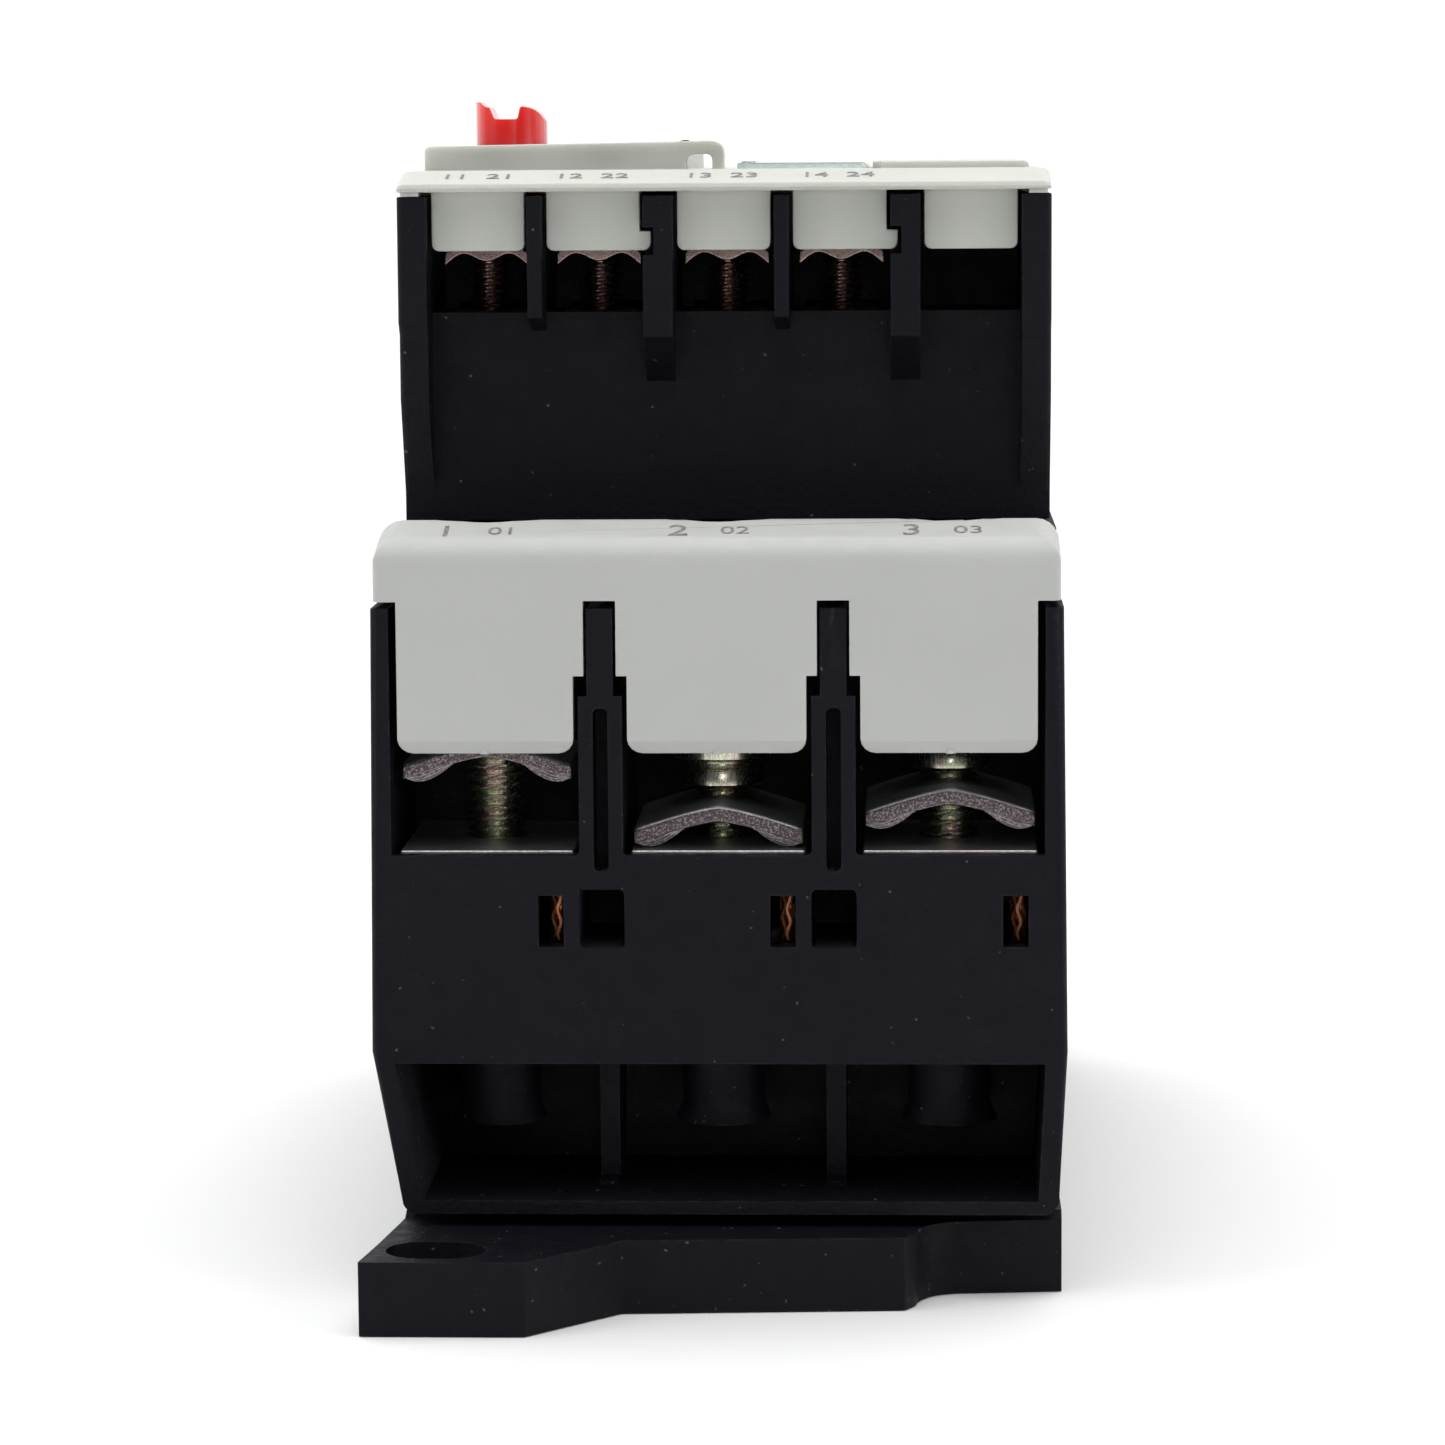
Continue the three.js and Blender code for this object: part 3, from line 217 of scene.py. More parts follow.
# ---------------------------------------------------------------------------
# Materials
# ---------------------------------------------------------------------------
class Look:
    """A principled material and helpers that layer its textures. Texture sizes are in millimetres."""

    def __init__(self, name, colour, roughness, **settings):
        self.material = bpy.data.materials.new(name)
        self.material.use_nodes = True
        self.nodes = self.material.node_tree.nodes
        self.links = self.material.node_tree.links
        self.shader = self.nodes["Principled BSDF"]
        self.shader.inputs["Base Color"].default_value = (*colour, 1)
        self.shader.inputs["Roughness"].default_value = roughness
        for socket, value in settings.items():
            self.shader.inputs[socket.replace("_", " ")].default_value = value
        coordinates = self.nodes.new("ShaderNodeTexCoord")
        self.place = coordinates.outputs["Object"]
        self.facing = coordinates.outputs["Normal"]

    def wire(self, socket, value):
        """Joins a socket to another one, or sets it to a number or a colour."""
        if isinstance(value, bpy.types.NodeSocket):
            self.links.new(value, socket)
        elif isinstance(value, tuple) and len(value) == 3 and socket.type == "RGBA":
            socket.default_value = (*value, 1)
        else:
            socket.default_value = value

    def scaled_place(self, size, stretch):
        mapping = self.nodes.new("ShaderNodeMapping")
        mapping.inputs["Scale"].default_value = [s / (size * MM) for s in stretch]
        self.wire(mapping.inputs["Vector"], self.place)
        return mapping.outputs["Vector"]

    def noise(self, size, detail=3.0, stretch=(1, 1, 1), roughness=0.5):
        texture = self.nodes.new("ShaderNodeTexNoise")
        self.wire(texture.inputs["Vector"], self.scaled_place(size, stretch))
        texture.inputs["Scale"].default_value = 1.0
        texture.inputs["Detail"].default_value = detail
        texture.inputs["Roughness"].default_value = roughness
        return texture.outputs[0]

    def cells(self, size):
        """Distance to the nearest of points scattered about size apart."""
        texture = self.nodes.new("ShaderNodeTexVoronoi")
        self.wire(texture.inputs["Vector"], self.scaled_place(size, (1, 1, 1)))
        texture.inputs["Scale"].default_value = 1.0
        return texture.outputs["Distance"]

    def fit(self, value, low, high, to_low=0.0, to_high=1.0):
        """Carries low to high smoothly over to to_low to to_high, and holds the ends."""
        node = self.nodes.new("ShaderNodeMapRange")
        node.interpolation_type = "SMOOTHSTEP"
        self.wire(node.inputs["Value"], value)
        numbers = {"From Min": low, "From Max": high, "To Min": to_low, "To Max": to_high}
        for socket, number in numbers.items():
            node.inputs[socket].default_value = number
        return node.outputs["Result"]

    def math(self, operation, a, b):
        node = self.nodes.new("ShaderNodeMath")
        node.operation = operation
        self.wire(node.inputs[0], a)
        self.wire(node.inputs[1], b)
        return node.outputs[0]

    def mix(self, factor, a, b):
        """Colour a where the factor is 0 and b where it is 1."""
        node = self.nodes.new("ShaderNodeMix")
        node.data_type = "RGBA"
        self.wire(node.inputs[0], factor)
        self.wire(node.inputs[6], a)
        self.wire(node.inputs[7], b)
        return node.outputs[2]

    def edges(self, radius):
        """About 1 along the piece's edges and 0 on its faces."""
        bevel = self.nodes.new("ShaderNodeBevel")
        bevel.samples = 4
        bevel.inputs["Radius"].default_value = radius * MM
        geometry = self.nodes.new("ShaderNodeNewGeometry")
        dot = self.nodes.new("ShaderNodeVectorMath")
        dot.operation = "DOT_PRODUCT"
        self.wire(dot.inputs[0], bevel.outputs["Normal"])
        self.wire(dot.inputs[1], geometry.outputs["Normal"])
        away = self.math("SUBTRACT", 1.0, dot.outputs["Value"])
        return self.fit(away, low=0.02, high=0.25)

    def paint(self, colour):
        self.wire(self.shader.inputs["Base Color"], colour)

    def gloss(self, value, low, high):
        self.wire(self.shader.inputs["Roughness"], self.fit(value, 0.3, 0.7, low, high))

    def bump(self, *layers):
        """Layers are (height, depth in millimetres), the coarsest first."""
        normal = None
        for height, depth in layers:
            node = self.nodes.new("ShaderNodeBump")
            node.inputs["Distance"].default_value = depth * MM
            self.wire(node.inputs["Height"], height)
            if normal is not None:
                self.wire(node.inputs["Normal"], normal)
            normal = node.outputs["Normal"]
        self.wire(self.shader.inputs["Normal"], normal)


def shade(colour, factor):
    return tuple(channel * factor for channel in colour)


def moulded(name, colour, roughness, grain, edge, dust=None, grain_size=0.32, **settings):
    """Injection-moulded plastic: spark-eroded grain, faint flow clouding, scuffed edges and dust."""
    look = Look(name, colour, roughness, **settings)
    cloud = look.noise(size=9, detail=3)
    fine = look.noise(size=grain_size, detail=3, roughness=0.6)
    base = look.mix(cloud, shade(colour, 0.93), shade(colour, 1.07))
    base = look.mix(look.math("MULTIPLY", fine, 0.35), base, shade(colour, 1.12))
    patchy = look.fit(look.noise(size=1.1, detail=4), low=0.42, high=0.62)
    scuffs = look.math("MULTIPLY", look.edges(radius=0.22), patchy)
    base = look.mix(look.math("MULTIPLY", scuffs, 0.55), base, edge)
    if dust:
        specks = look.fit(look.cells(size=3.1), low=0.015, high=0.04, to_low=1.0, to_high=0.0)
        lint = look.fit(look.noise(size=0.5, detail=1), low=0.74, high=0.8)
        base = look.mix(look.math("MULTIPLY", look.math("MAXIMUM", specks, lint), 0.5), base, dust)
    look.paint(base)
    look.gloss(look.noise(size=1.4, detail=4), roughness - 0.06, roughness + 0.08)
    waviness = look.noise(size=7, detail=2)
    finest = look.noise(size=grain_size * 0.4, detail=2)
    look.bump((waviness, 0.05), (fine, grain), (finest, grain * 0.4))
    return look.material


def torn_metal(look, base, colour):
    """Lays the rough grain of a sheared edge over the faces that look along Y."""
    split = look.nodes.new("ShaderNodeSeparateXYZ")
    look.wire(split.inputs["Vector"], look.facing)
    cut_face = look.fit(look.math("ABSOLUTE", split.outputs["Y"], 0.0), low=0.75, high=0.95)
    grains = look.fit(look.noise(size=0.16, detail=4, roughness=0.7), low=0.46, high=0.66)
    torn = look.mix(grains, shade(colour, 0.45), shade(colour, 2.1))
    return look.mix(cut_face, base, torn)


def plated(name, colour, second, roughness, grain, stretch=(1, 1, 1), sheared=None):
    """Plated or bare metal: two tints in patches, drawn or tumbled marks and small pits."""
    look = Look(name, colour, roughness, Metallic=1.0)
    patches = look.fit(look.noise(size=2.2, detail=4), low=0.35, high=0.65)
    marks = look.noise(size=0.22, detail=4, stretch=stretch, roughness=0.65)
    base = look.mix(patches, colour, second)
    base = look.mix(look.fit(marks, low=0.3, high=0.75, to_high=0.5), base, shade(colour, 0.55))
    pits = look.fit(look.cells(size=0.9), low=0.03, high=0.1, to_low=1.0, to_high=0.0)
    base = look.mix(look.math("MULTIPLY", pits, 0.6), base, shade(colour, 0.3))
    if sheared:
        base = torn_metal(look, base, sheared)
    worn = look.math("MULTIPLY", look.edges(radius=0.12), 0.5)
    look.paint(look.mix(worn, base, shade(second, 1.25)))
    look.gloss(marks, roughness - 0.08, roughness + 0.14)
    dents = look.noise(size=1.2, detail=3, stretch=stretch)
    look.bump((dents, grain * 2), (marks, grain), (pits, -grain))
    return look.material


def clear_pane():
    """Greenish clear plastic with fine scratches."""
    look = Look("clear_plastic", (0.80, 0.92, 0.88), 0.08, Transmission_Weight=0.92, IOR=1.49)
    scratches = look.noise(size=0.4, detail=3, stretch=(1, 6, 1))
    look.paint(look.mix(look.noise(size=6, detail=2), (0.78, 0.91, 0.87), (0.84, 0.94, 0.91)))
    look.gloss(scratches, 0.05, 0.16)
    look.bump((look.noise(size=5, detail=1), 0.02), (scratches, 0.002))
    return look.material


def ink():
    """Grey pad-printing ink that covers unevenly."""
    look = Look("printing_ink", (0.16, 0.14, 0.14), 0.6)
    coverage = look.fit(look.noise(size=0.25, detail=3), low=0.3, high=0.7)
    look.paint(look.mix(coverage, (0.10, 0.09, 0.09), (0.30, 0.27, 0.26)))
    look.gloss(coverage, 0.5, 0.7)
    look.bump((coverage, 0.004))
    return look.material


HOUSING = (0.0042, 0.0041, 0.0072)
COVER = (0.44, 0.447, 0.43)
FASCIA = (0.52, 0.53, 0.49)
RED = (0.72, 0.017, 0.014)
BLUE = (0.026, 0.115, 0.36)
INNER = (0.26, 0.15, 0.055)
EVEN_SCATTER = (0.8, 0.8, 0.7)


def make_plastics():
    return {
        "housing_black": moulded(
            "housing_black", HOUSING, roughness=0.52, grain=0.07, dust=(0.16, 0.16, 0.16),
            edge=(0.030, 0.032, 0.042), grain_size=0.42, Specular_IOR_Level=0.13,
        ),
        "cover_grey": moulded(
            "cover_grey", COVER, roughness=0.46, grain=0.006, dust=(0.40, 0.38, 0.34),
            edge=(0.56, 0.57, 0.55),
            Subsurface_Weight=0.12, Subsurface_Scale=0.0008, Subsurface_Radius=EVEN_SCATTER,
        ),
        "fascia_grey": moulded(
            "fascia_grey", FASCIA, roughness=0.44, grain=0.006, dust=(0.48, 0.45, 0.40),
            edge=(0.66, 0.67, 0.64),
            Subsurface_Weight=0.5, Subsurface_Scale=0.0022, Subsurface_Radius=EVEN_SCATTER,
        ),
        "stop_red": moulded(
            "stop_red", RED, roughness=0.2, grain=0.001, edge=(0.78, 0.10, 0.09),
            Subsurface_Weight=0.5, Subsurface_Scale=0.0016, Coat_Weight=0.7, Coat_Roughness=0.14,
        ),
        "reset_blue": moulded("reset_blue", BLUE, roughness=0.34, grain=0.004, edge=(0.10, 0.22, 0.48)),
        "inner_plastic": moulded("inner_plastic", INNER, roughness=0.5, grain=0.008, edge=(0.36, 0.24, 0.11)),
        "clear_plastic": clear_pane(),
    }


# Metals: first and second tint, roughness, depth of the grain, and what else is set
METALS = {
    "zinc_plate": ((0.55, 0.57, 0.58), (0.50, 0.44, 0.46), 0.36, 0.016, {}),
    "zinc_pressed": ((0.50, 0.53, 0.54), (0.46, 0.43, 0.45), 0.36, 0.02, {"sheared": (0.15, 0.125, 0.13)}),
    "zinc_screw": ((0.62, 0.66, 0.48), (0.62, 0.50, 0.46), 0.22, 0.003, {"stretch": (3, 3, 0.4)}),
    "bimetal": ((0.56, 0.54, 0.50), (0.50, 0.46, 0.38), 0.3, 0.004, {"stretch": (4, 4, 0.3)}),
    "heater": ((0.30, 0.28, 0.27), (0.36, 0.30, 0.34), 0.42, 0.005, {}),
    "copper": ((0.72, 0.33, 0.17), (0.52, 0.20, 0.11), 0.34, 0.006, {}),
    "browned_copper": ((0.36, 0.26, 0.235), (0.24, 0.175, 0.16), 0.27, 0.006, {}),
    "spring_steel": ((0.46, 0.47, 0.49), (0.40, 0.39, 0.38), 0.3, 0.003, {}),
}


def make_looks():
    made = make_plastics()
    for name, (colour, second, roughness, grain, more) in METALS.items():
        made[name] = plated(name, colour, second, roughness, grain, **more)
    made["ink"] = ink()
    return made


# ---------------------------------------------------------------------------
# Making and placing pieces
# ---------------------------------------------------------------------------
SMOOTH_BELOW = math.radians(40)
SHARP_ABOVE = 28  # degrees between two faces


def make_piece(name, bm, look):
    """Turns a shape drawn in millimetres into a smooth-shaded object in metres."""
    bmesh.ops.recalc_face_normals(bm, faces=bm.faces)
    bm.transform(Matrix.Scale(MM, 4))
    mesh = bpy.data.meshes.new(name)
    bm.to_mesh(mesh)
    bm.free()
    mesh.shade_smooth()
    mesh.set_sharp_from_angle(angle=SMOOTH_BELOW)
    mesh.materials.append(looks[look])
    piece = bpy.data.objects.new(name, mesh)
    bpy.context.scene.collection.objects.link(piece)
    even = piece.modifiers.new("even_normals", "WEIGHTED_NORMAL")
    even.keep_sharp = True
    return piece


def stand_for(piece, node):
    """The piece takes the place and body of one CAD node, which is hidden."""
    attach(piece, frame["nodes"][node]["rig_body"])
    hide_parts(node)
    return piece


def add_box(bm, low, high):
    centre = (Vector(low) + Vector(high)) / 2
    size = Vector(high) - Vector(low)
    matrix = Matrix.Translation(centre) @ Matrix.Diagonal((*size, 1))
    bmesh.ops.create_cube(bm, size=1, matrix=matrix)


def add_prism(bm, outline, depth, basis):
    """An outline in a plane, run a distance along the plane's normal. basis maps (u, v, depth) to space."""
    low = [bm.verts.new(basis @ Vector((u, v, 0))) for u, v in outline]
    high = [bm.verts.new(basis @ Vector((u, v, depth))) for u, v in outline]
    count = len(outline)
    bm.faces.new(list(reversed(low)))
    bm.faces.new(high)
    for i in range(count):
        j = (i + 1) % count
        bm.faces.new((low[i], low[j], high[j], high[i]))


def along_y(y):
    """Basis for outlines in the XZ plane that run towards +Y from y."""
    return Matrix(((1, 0, 0, 0), (0, 0, 1, y), (0, 1, 0, 0), (0, 0, 0, 1)))


def along_x(x):
    """Basis for outlines in the YZ plane that run towards +X from x."""
    return Matrix(((0, 0, 1, x), (1, 0, 0, 0), (0, 1, 0, 0), (0, 0, 0, 1)))


def add_rings(bm, rings):
    """Skins a list of equal rings of points, with flat ends."""
    made = [[bm.verts.new(point) for point in ring] for ring in rings]
    count = len(made[0])
    for low, high in zip(made, made[1:]):
        for i in range(count):
            j = (i + 1) % count
            bm.faces.new((low[i], low[j], high[j], high[i]))
    bm.faces.new(list(reversed(made[0])))
    bm.faces.new(made[-1])


def spread(low, high, steps):
    """Even places from low to high, both ends included."""
    return [low + (high - low) * i / steps for i in range(steps + 1)]


def circle(radius, z, sides):
    turns = [math.tau * i / sides for i in range(sides)]
    return [Vector((radius * math.cos(turn), radius * math.sin(turn), z)) for turn in turns]


def add_revolved(bm, profile, sides=40):
    """Turns a profile of (radius, height) pairs about the Z axis."""
    add_rings(bm, [circle(radius, z, sides) for radius, z in profile])


THREAD_SIDES = 28
THREAD_ROWS_PER_TURN = 8
THREAD_LEAD_IN = 0.9  # length of the cone at the tip


def add_thread(bm, crest, root, pitch, length):
    """Screw thread that stands on its tip, with a short lead-in cone."""
    rings = []
    for z in spread(0, length, round(length / pitch * THREAD_ROWS_PER_TURN)):
        taper = 0.72 + 0.28 * min(1.0, z / THREAD_LEAD_IN)
        ring = []
        for i in range(THREAD_SIDES):
            turn = i / THREAD_SIDES
            wave = abs(2 * ((z / pitch - turn) % 1.0) - 1)
            flank = min(1.0, max(0.0, 1.35 * wave - 0.15))
            radius = (root + (crest - root) * flank) * taper
            angle = math.tau * turn
            ring.append(Vector((radius * math.cos(angle), radius * math.sin(angle), z)))
        rings.append(ring)
    add_rings(bm, rings)


def add_tube(bm, path, radius, sides=8):
    """Round wire along a path of points."""
    rings = []
    side = None
    for i, point in enumerate(path):
        ahead = path[min(i + 1, len(path) - 1)] - path[max(i - 1, 0)]
        ahead.normalize()
        if side is None:
            side = ahead.orthogonal().normalized()
        side = (side - ahead * side.dot(ahead)).normalized()
        other = ahead.cross(side)
        steps = [math.tau * k / sides for k in range(sides)]
        rings.append([point + (side * math.cos(a) + other * math.sin(a)) * radius for a in steps])
    add_rings(bm, rings)


def sharp_edges(bm, above):
    limit = math.radians(above)
    return [e for e in bm.edges if len(e.link_faces) == 2 and e.calc_face_angle() > limit]


def strays(bm, before, reach):
    """Whether a vertex lies farther than reach from the shape before rounding."""
    return any(before.find_nearest(v.co)[3] > reach for v in bm.verts)


def folded_area(bm):
    """How much more area the faces have once cut into triangles: more than a little means a folded face."""
    triangles = 0.0
    for loops in bm.calc_loop_triangles():
        a, b, c = (loop.vert.co for loop in loops)
        triangles += (b - a).cross(c - a).length / 2
    return triangles - sum(face.calc_area() for face in bm.faces)


ROUNDING_TRIES = (1, 0.6, 0.35, 0.2)  # shares of the width asked for
FOLD_ALLOWED = 1.5  # square millimetres


def round_edges(bm, width, segments=2, above=SHARP_ABOVE, pick=None):
    """Rounds the sharp edges whose two ends pick(a, b) accepts, narrower where that would tear the shape."""
    kept = bpy.data.meshes.new("kept")
    bm.to_mesh(kept)
    before = BVHTree.FromBMesh(bm)
    folded = folded_area(bm)
    for part in ROUNDING_TRIES:
        chosen = []
        for edge in sharp_edges(bm, above):
            if pick is None or pick(edge.verts[0].co, edge.verts[1].co):
                chosen.append(edge)
        if not chosen:
            break
        bmesh.ops.bevel(
            bm, geom=chosen, offset=width * part, segments=segments, profile=0.5, affect="EDGES",
            clamp_overlap=False,
        )
        if not strays(bm, before, width * part * 1.5 + 0.02) and folded_area(bm) < folded + FOLD_ALLOWED:
            break
        bm.clear()
        bm.from_mesh(kept)
    bpy.data.meshes.remove(kept)


def node_shape(node):
    """A CAD node's shape in millimetres, its flat faces merged."""
    bm = bmesh.new()
    bm.from_mesh(frame["nodes"][node].data)
    bm.transform(Matrix.Scale(1 / MM, 4))
    bmesh.ops.remove_doubles(bm, verts=bm.verts, dist=0.003)
    bmesh.ops.dissolve_limit(bm, angle_limit=math.radians(0.6), verts=bm.verts, edges=bm.edges)
    return bm


def joined(*shapes):
    """One shape that holds several."""
    whole = shapes[0]
    for shape in shapes[1:]:
        mesh = bpy.data.meshes.new("joining")
        shape.to_mesh(mesh)
        shape.free()
        whole.from_mesh(mesh)
        bpy.data.meshes.remove(mesh)
    return whole


def cut(first, second):
    """The first closed shape less the second."""
    objects = []
    for shape in (first, second):
        bmesh.ops.recalc_face_normals(shape, faces=shape.faces)
        mesh = bpy.data.meshes.new("operand")
        shape.to_mesh(mesh)
        shape.free()
        operand = bpy.data.objects.new("operand", mesh)
        bpy.context.scene.collection.objects.link(operand)
        objects.append(operand)
    modifier = objects[0].modifiers.new("boolean", "BOOLEAN")
    modifier.operation = "DIFFERENCE"
    modifier.solver = "EXACT"
    modifier.object = objects[1]
    graph = bpy.context.evaluated_depsgraph_get()
    result = bmesh.new()
    result.from_mesh(objects[0].evaluated_get(graph).to_mesh())
    for operand in objects:
        mesh = operand.data
        bpy.data.objects.remove(operand)
        bpy.data.meshes.remove(mesh)
    bmesh.ops.remove_doubles(result, verts=result.verts, dist=0.001)
    return result


def rounded_node(node, look, width, above=SHARP_ABOVE):
    """A CAD node with its edges rounded."""
    bm = node_shape(node)
    round_edges(bm, width, above=above)
    _, high = node_box(node)
    for vert in bm.verts:
        vert.co.z = min(vert.co.z, high.z)
    return stand_for(make_piece(node + "_finished", bm, look), node)


# ---------------------------------------------------------------------------
# Mouldings
# ---------------------------------------------------------------------------
X, Y, Z = range(3)
LAST_ROUNDING_ABOVE = 40  # degrees, so that the facets of earlier roundings are left alone


def near(a, b, slack=0.06):
    return abs(a - b) < slack


def both_near(axis, a, b, value):
    """Both ends lie at one place along an axis."""
    return near(a[axis], value) and near(b[axis], value)


def both_out(axis, a, b, value):
    """Both ends lie at one distance from the middle along an axis, on either side."""
    return near(abs(a[axis]), value) and near(abs(b[axis]), value)


def runs_along(axis, a, b):
    way = (b - a).normalized()
    return abs(way[axis]) > 0.94


def moulding(node, bm, look):
    return stand_for(make_piece(node + "_moulding", bm, look), node)


def gate_mark(place):
    """The nub that the moulding gate leaves."""
    bm = bmesh.new()
    tip, radius, length = 0.34, 0.40, 0.6
    base = place.z
    add_revolved(bm, ((tip, base + 0.02), (radius, base + 0.1), (radius, base + length)), sides=14)
    bm.transform(Matrix.Translation((place.x, place.y, -0.06)))
    return bm


def make_cover(node, look):
    """Three-finger cover: round shoulders, soft front edge, bull-nosed fingers with a gate mark each."""
    low, high = node_box(node)
    at_front = node == "terminal_cover"
    front = low.y if at_front else high.y
    away = -1 if at_front else 1
    half = high.x
    shoulder_radius, finger_radius, brow_radius = 1.5, 1.0, 0.5
    shoulder = high.z - shoulder_radius
    margin = 0.2
    finger_length = 9.9

    def shoulder_edge(a, b):
        leans = abs((b - a).normalized().z) < 0.5
        return both_out(X, a, b, half) and min(a.z, b.z) > shoulder and leans

    def finger_corner(a, b):
        return both_near(Z, a, b, low.z) and runs_along(Y, a, b)

    def upper_front(a, b):
        if not both_near(Y, a, b, front) or min(a.z, b.z) <= low.z + finger_length:
            return False
        at_end = max(abs(a.x), abs(b.x)) > half - shoulder_radius - margin
        rises = not near(a.z, b.z, slack=0.001)
        return at_end and rises or max(a.z, b.z) > shoulder - margin

    bm = node_shape(node)
    round_edges(bm, shoulder_radius, segments=5, pick=shoulder_edge)
    round_edges(bm, finger_radius, segments=4, pick=finger_corner)
    round_edges(bm, brow_radius, segments=3, pick=upper_front)
    # The fingers' front slopes back over this band. The wedge that cuts it runs on past both of its ends.
    band, undercut = 0.87, 0.5
    slope = Vector((-away * undercut, -band))
    start = Vector((front, low.z + band))
    overrun = 0.4
    outline = [start - slope * overrun, start + slope * (1 + overrun), Vector((front + away, low.z - 1))]
    wedge = bmesh.new()
    add_prism(wedge, outline if at_front else outline[::-1], 2 * half + 2, along_x(-half - 1))
    bmesh.ops.recalc_face_normals(wedge, faces=wedge.faces)
    bm = cut(bm, wedge)
    round_edges(bm, 0.09, above=24)
    gate_y = front - away * 0.7
    for pole in POLES:
        x = node_middle(f"main_screw_{pole}").x
        bm = joined(bm, gate_mark(Vector((x, gate_y, low.z))))
    return moulding(node, bm, look)


def make_fascia():
    """The grey lid: round ends and corners, a raised block, hanging tabs and a rim down to the casing."""
    node = "front_fascia"
    low, high = node_box(node)
    half = high.x
    step = 0.3
    sheet_top = node_box("window_cover")[0].z + step
    sheet_bottom = node_box("mechanism_casing")[1].z + step

    def end_edge(a, b):
        across = runs_along(Y, a, b) or abs(a.y - b.y) > 1
        return both_out(X, a, b, half) and min(a.z, b.z) > sheet_bottom + 0.5 and across

    def block_side(a, b):
        at_end = max(abs(a.x), abs(b.x)) > half - 1.5
        return runs_along(Y, a, b) and min(a.z, b.z) > sheet_top + 0.4 and at_end

    def tab_corner(a, b):
        return both_near(Z, a, b, low.z) and runs_along(Y, a, b)

    def front_corner(a, b):
        return both_out(X, a, b, half) and both_near(Y, a, b, low.y)

    bm = node_shape(node)
    round_edges(bm, 0.85, segments=4, pick=end_edge)
    round_edges(bm, 0.4, segments=4, pick=block_side)
    round_edges(bm, 0.5, segments=4, pick=tab_corner)
    round_edges(bm, 0.4, segments=4, pick=front_corner)
    round_edges(bm, 0.14, above=LAST_ROUNDING_ABOVE)
    rim = bmesh.new()
    rim_in, rim_out = half - 1.5, half - 0.25
    rim_bottom, rim_top = sheet_bottom - step + 0.03, sheet_bottom + 0.2
    for side in SIDES:
        near_x, far_x = sorted((side * rim_in, side * rim_out))
        add_box(rim, (near_x, low.y + 0.4, rim_bottom), (far_x, high.y - 0.3, rim_top))
    bm = joined(bm, rim)
    return moulding(node, bm, "fascia_grey")


def make_relay_casing():
    """The deep casing: partitions set back, soft slots in the posts, round feet and front uprights."""
    node = "relay_casing"
    low, _ = node_box(node)
    poles = [node_middle(f"main_screw_{pole}").x for pole in POLES]
    posts = [(poles[0] + poles[1]) / 2, (poles[1] + poles[2]) / 2]
    partition_half, partition_setback = 0.9, 6.5
    partition_low, partition_high = low.z + 1.2, low.z + 9.9
    slot_half, slot_depth = 1.6, 11
    slot_low, slot_high = 23, 39.3
    foot_height, foot_inside = 0.9, 20
    wall_inside, wall_outside = 20.2, 21.5

    def slot_edge(a, b):
        in_post = any(abs(a.x - post) < slot_half for post in posts) and slot_low < a.z < slot_high
        in_front = max(a.y, b.y) < low.y + slot_depth
        return runs_along(Y, a, b) and in_front and in_post and abs(a.y - b.y) > 0.5

    def foot(a, b):
        at_end = min(abs(a.x), abs(b.x)) > foot_inside
        return runs_along(Y, a, b) and max(a.z, b.z) < low.z + foot_height and at_end

    def outer_upright(a, b):
        on_wall = min(abs(a.x), abs(b.x)) > wall_inside and max(abs(a.x), abs(b.x)) > wall_outside
        return both_near(Y, a, b, low.y) and on_wall and abs(a.z - b.z) > 2

    bm = node_shape(node)
    setback = bmesh.new()
    for post in posts:
        add_box(
            setback, (post - partition_half, low.y - 0.5, partition_low),
            (post + partition_half, low.y + partition_setback, partition_high),
        )
    bm = cut(bm, setback)
    round_edges(bm, 0.35, segments=4, above=60, pick=slot_edge)
    round_edges(bm, 1.2, segments=5, pick=foot)
    round_edges(bm, 0.5, segments=4, pick=outer_upright)
    round_edges(bm, 0.13, above=LAST_ROUNDING_ABOVE)
    return moulding(node, bm, "housing_black")


def make_mechanism_casing():
    node = "mechanism_casing"
    low, high = node_box(node)
    cheek_depth = 3.7

    def cheek_edge(a, b):
        in_front = max(a.y, b.y) < low.y + cheek_depth
        return both_out(X, a, b, high.x) and in_front and min(a.z, b.z) > low.z + 1

    bm = node_shape(node)
    round_edges(bm, 0.45, segments=4, above=LAST_ROUNDING_ABOVE, pick=cheek_edge)
    round_edges(bm, 0.13, above=LAST_ROUNDING_ABOVE)
    return moulding(node, bm, "housing_black")


def make_adaptor_base():
    node = "adaptor_base"
    plate_top = 4.85
    ears_begin = 41  # distance from the middle along Y

    def plate_corner(a, b):
        on_plate = max(a.z, b.z) < plate_top + 0.1 and abs(a.z - b.z) > 1.5
        return runs_along(Z, a, b) and on_plate and abs(a.y) > ears_begin

    bm = node_shape(node)
    round_edges(bm, 0.6, segments=4, pick=plate_corner)
    round_edges(bm, 0.14, above=LAST_ROUNDING_ABOVE)
    return moulding(node, bm, "housing_black")


def make_mouldings():
    make_adaptor_base()
    make_relay_casing()
    make_mechanism_casing()
    make_fascia()
    make_cover("terminal_cover", "cover_grey")
    make_cover("adaptor_cover", "housing_black")
    rounded_node("rail_clip", "inner_plastic", width=0.12)
    rounded_node("window_cover", "clear_plastic", width=0.08)


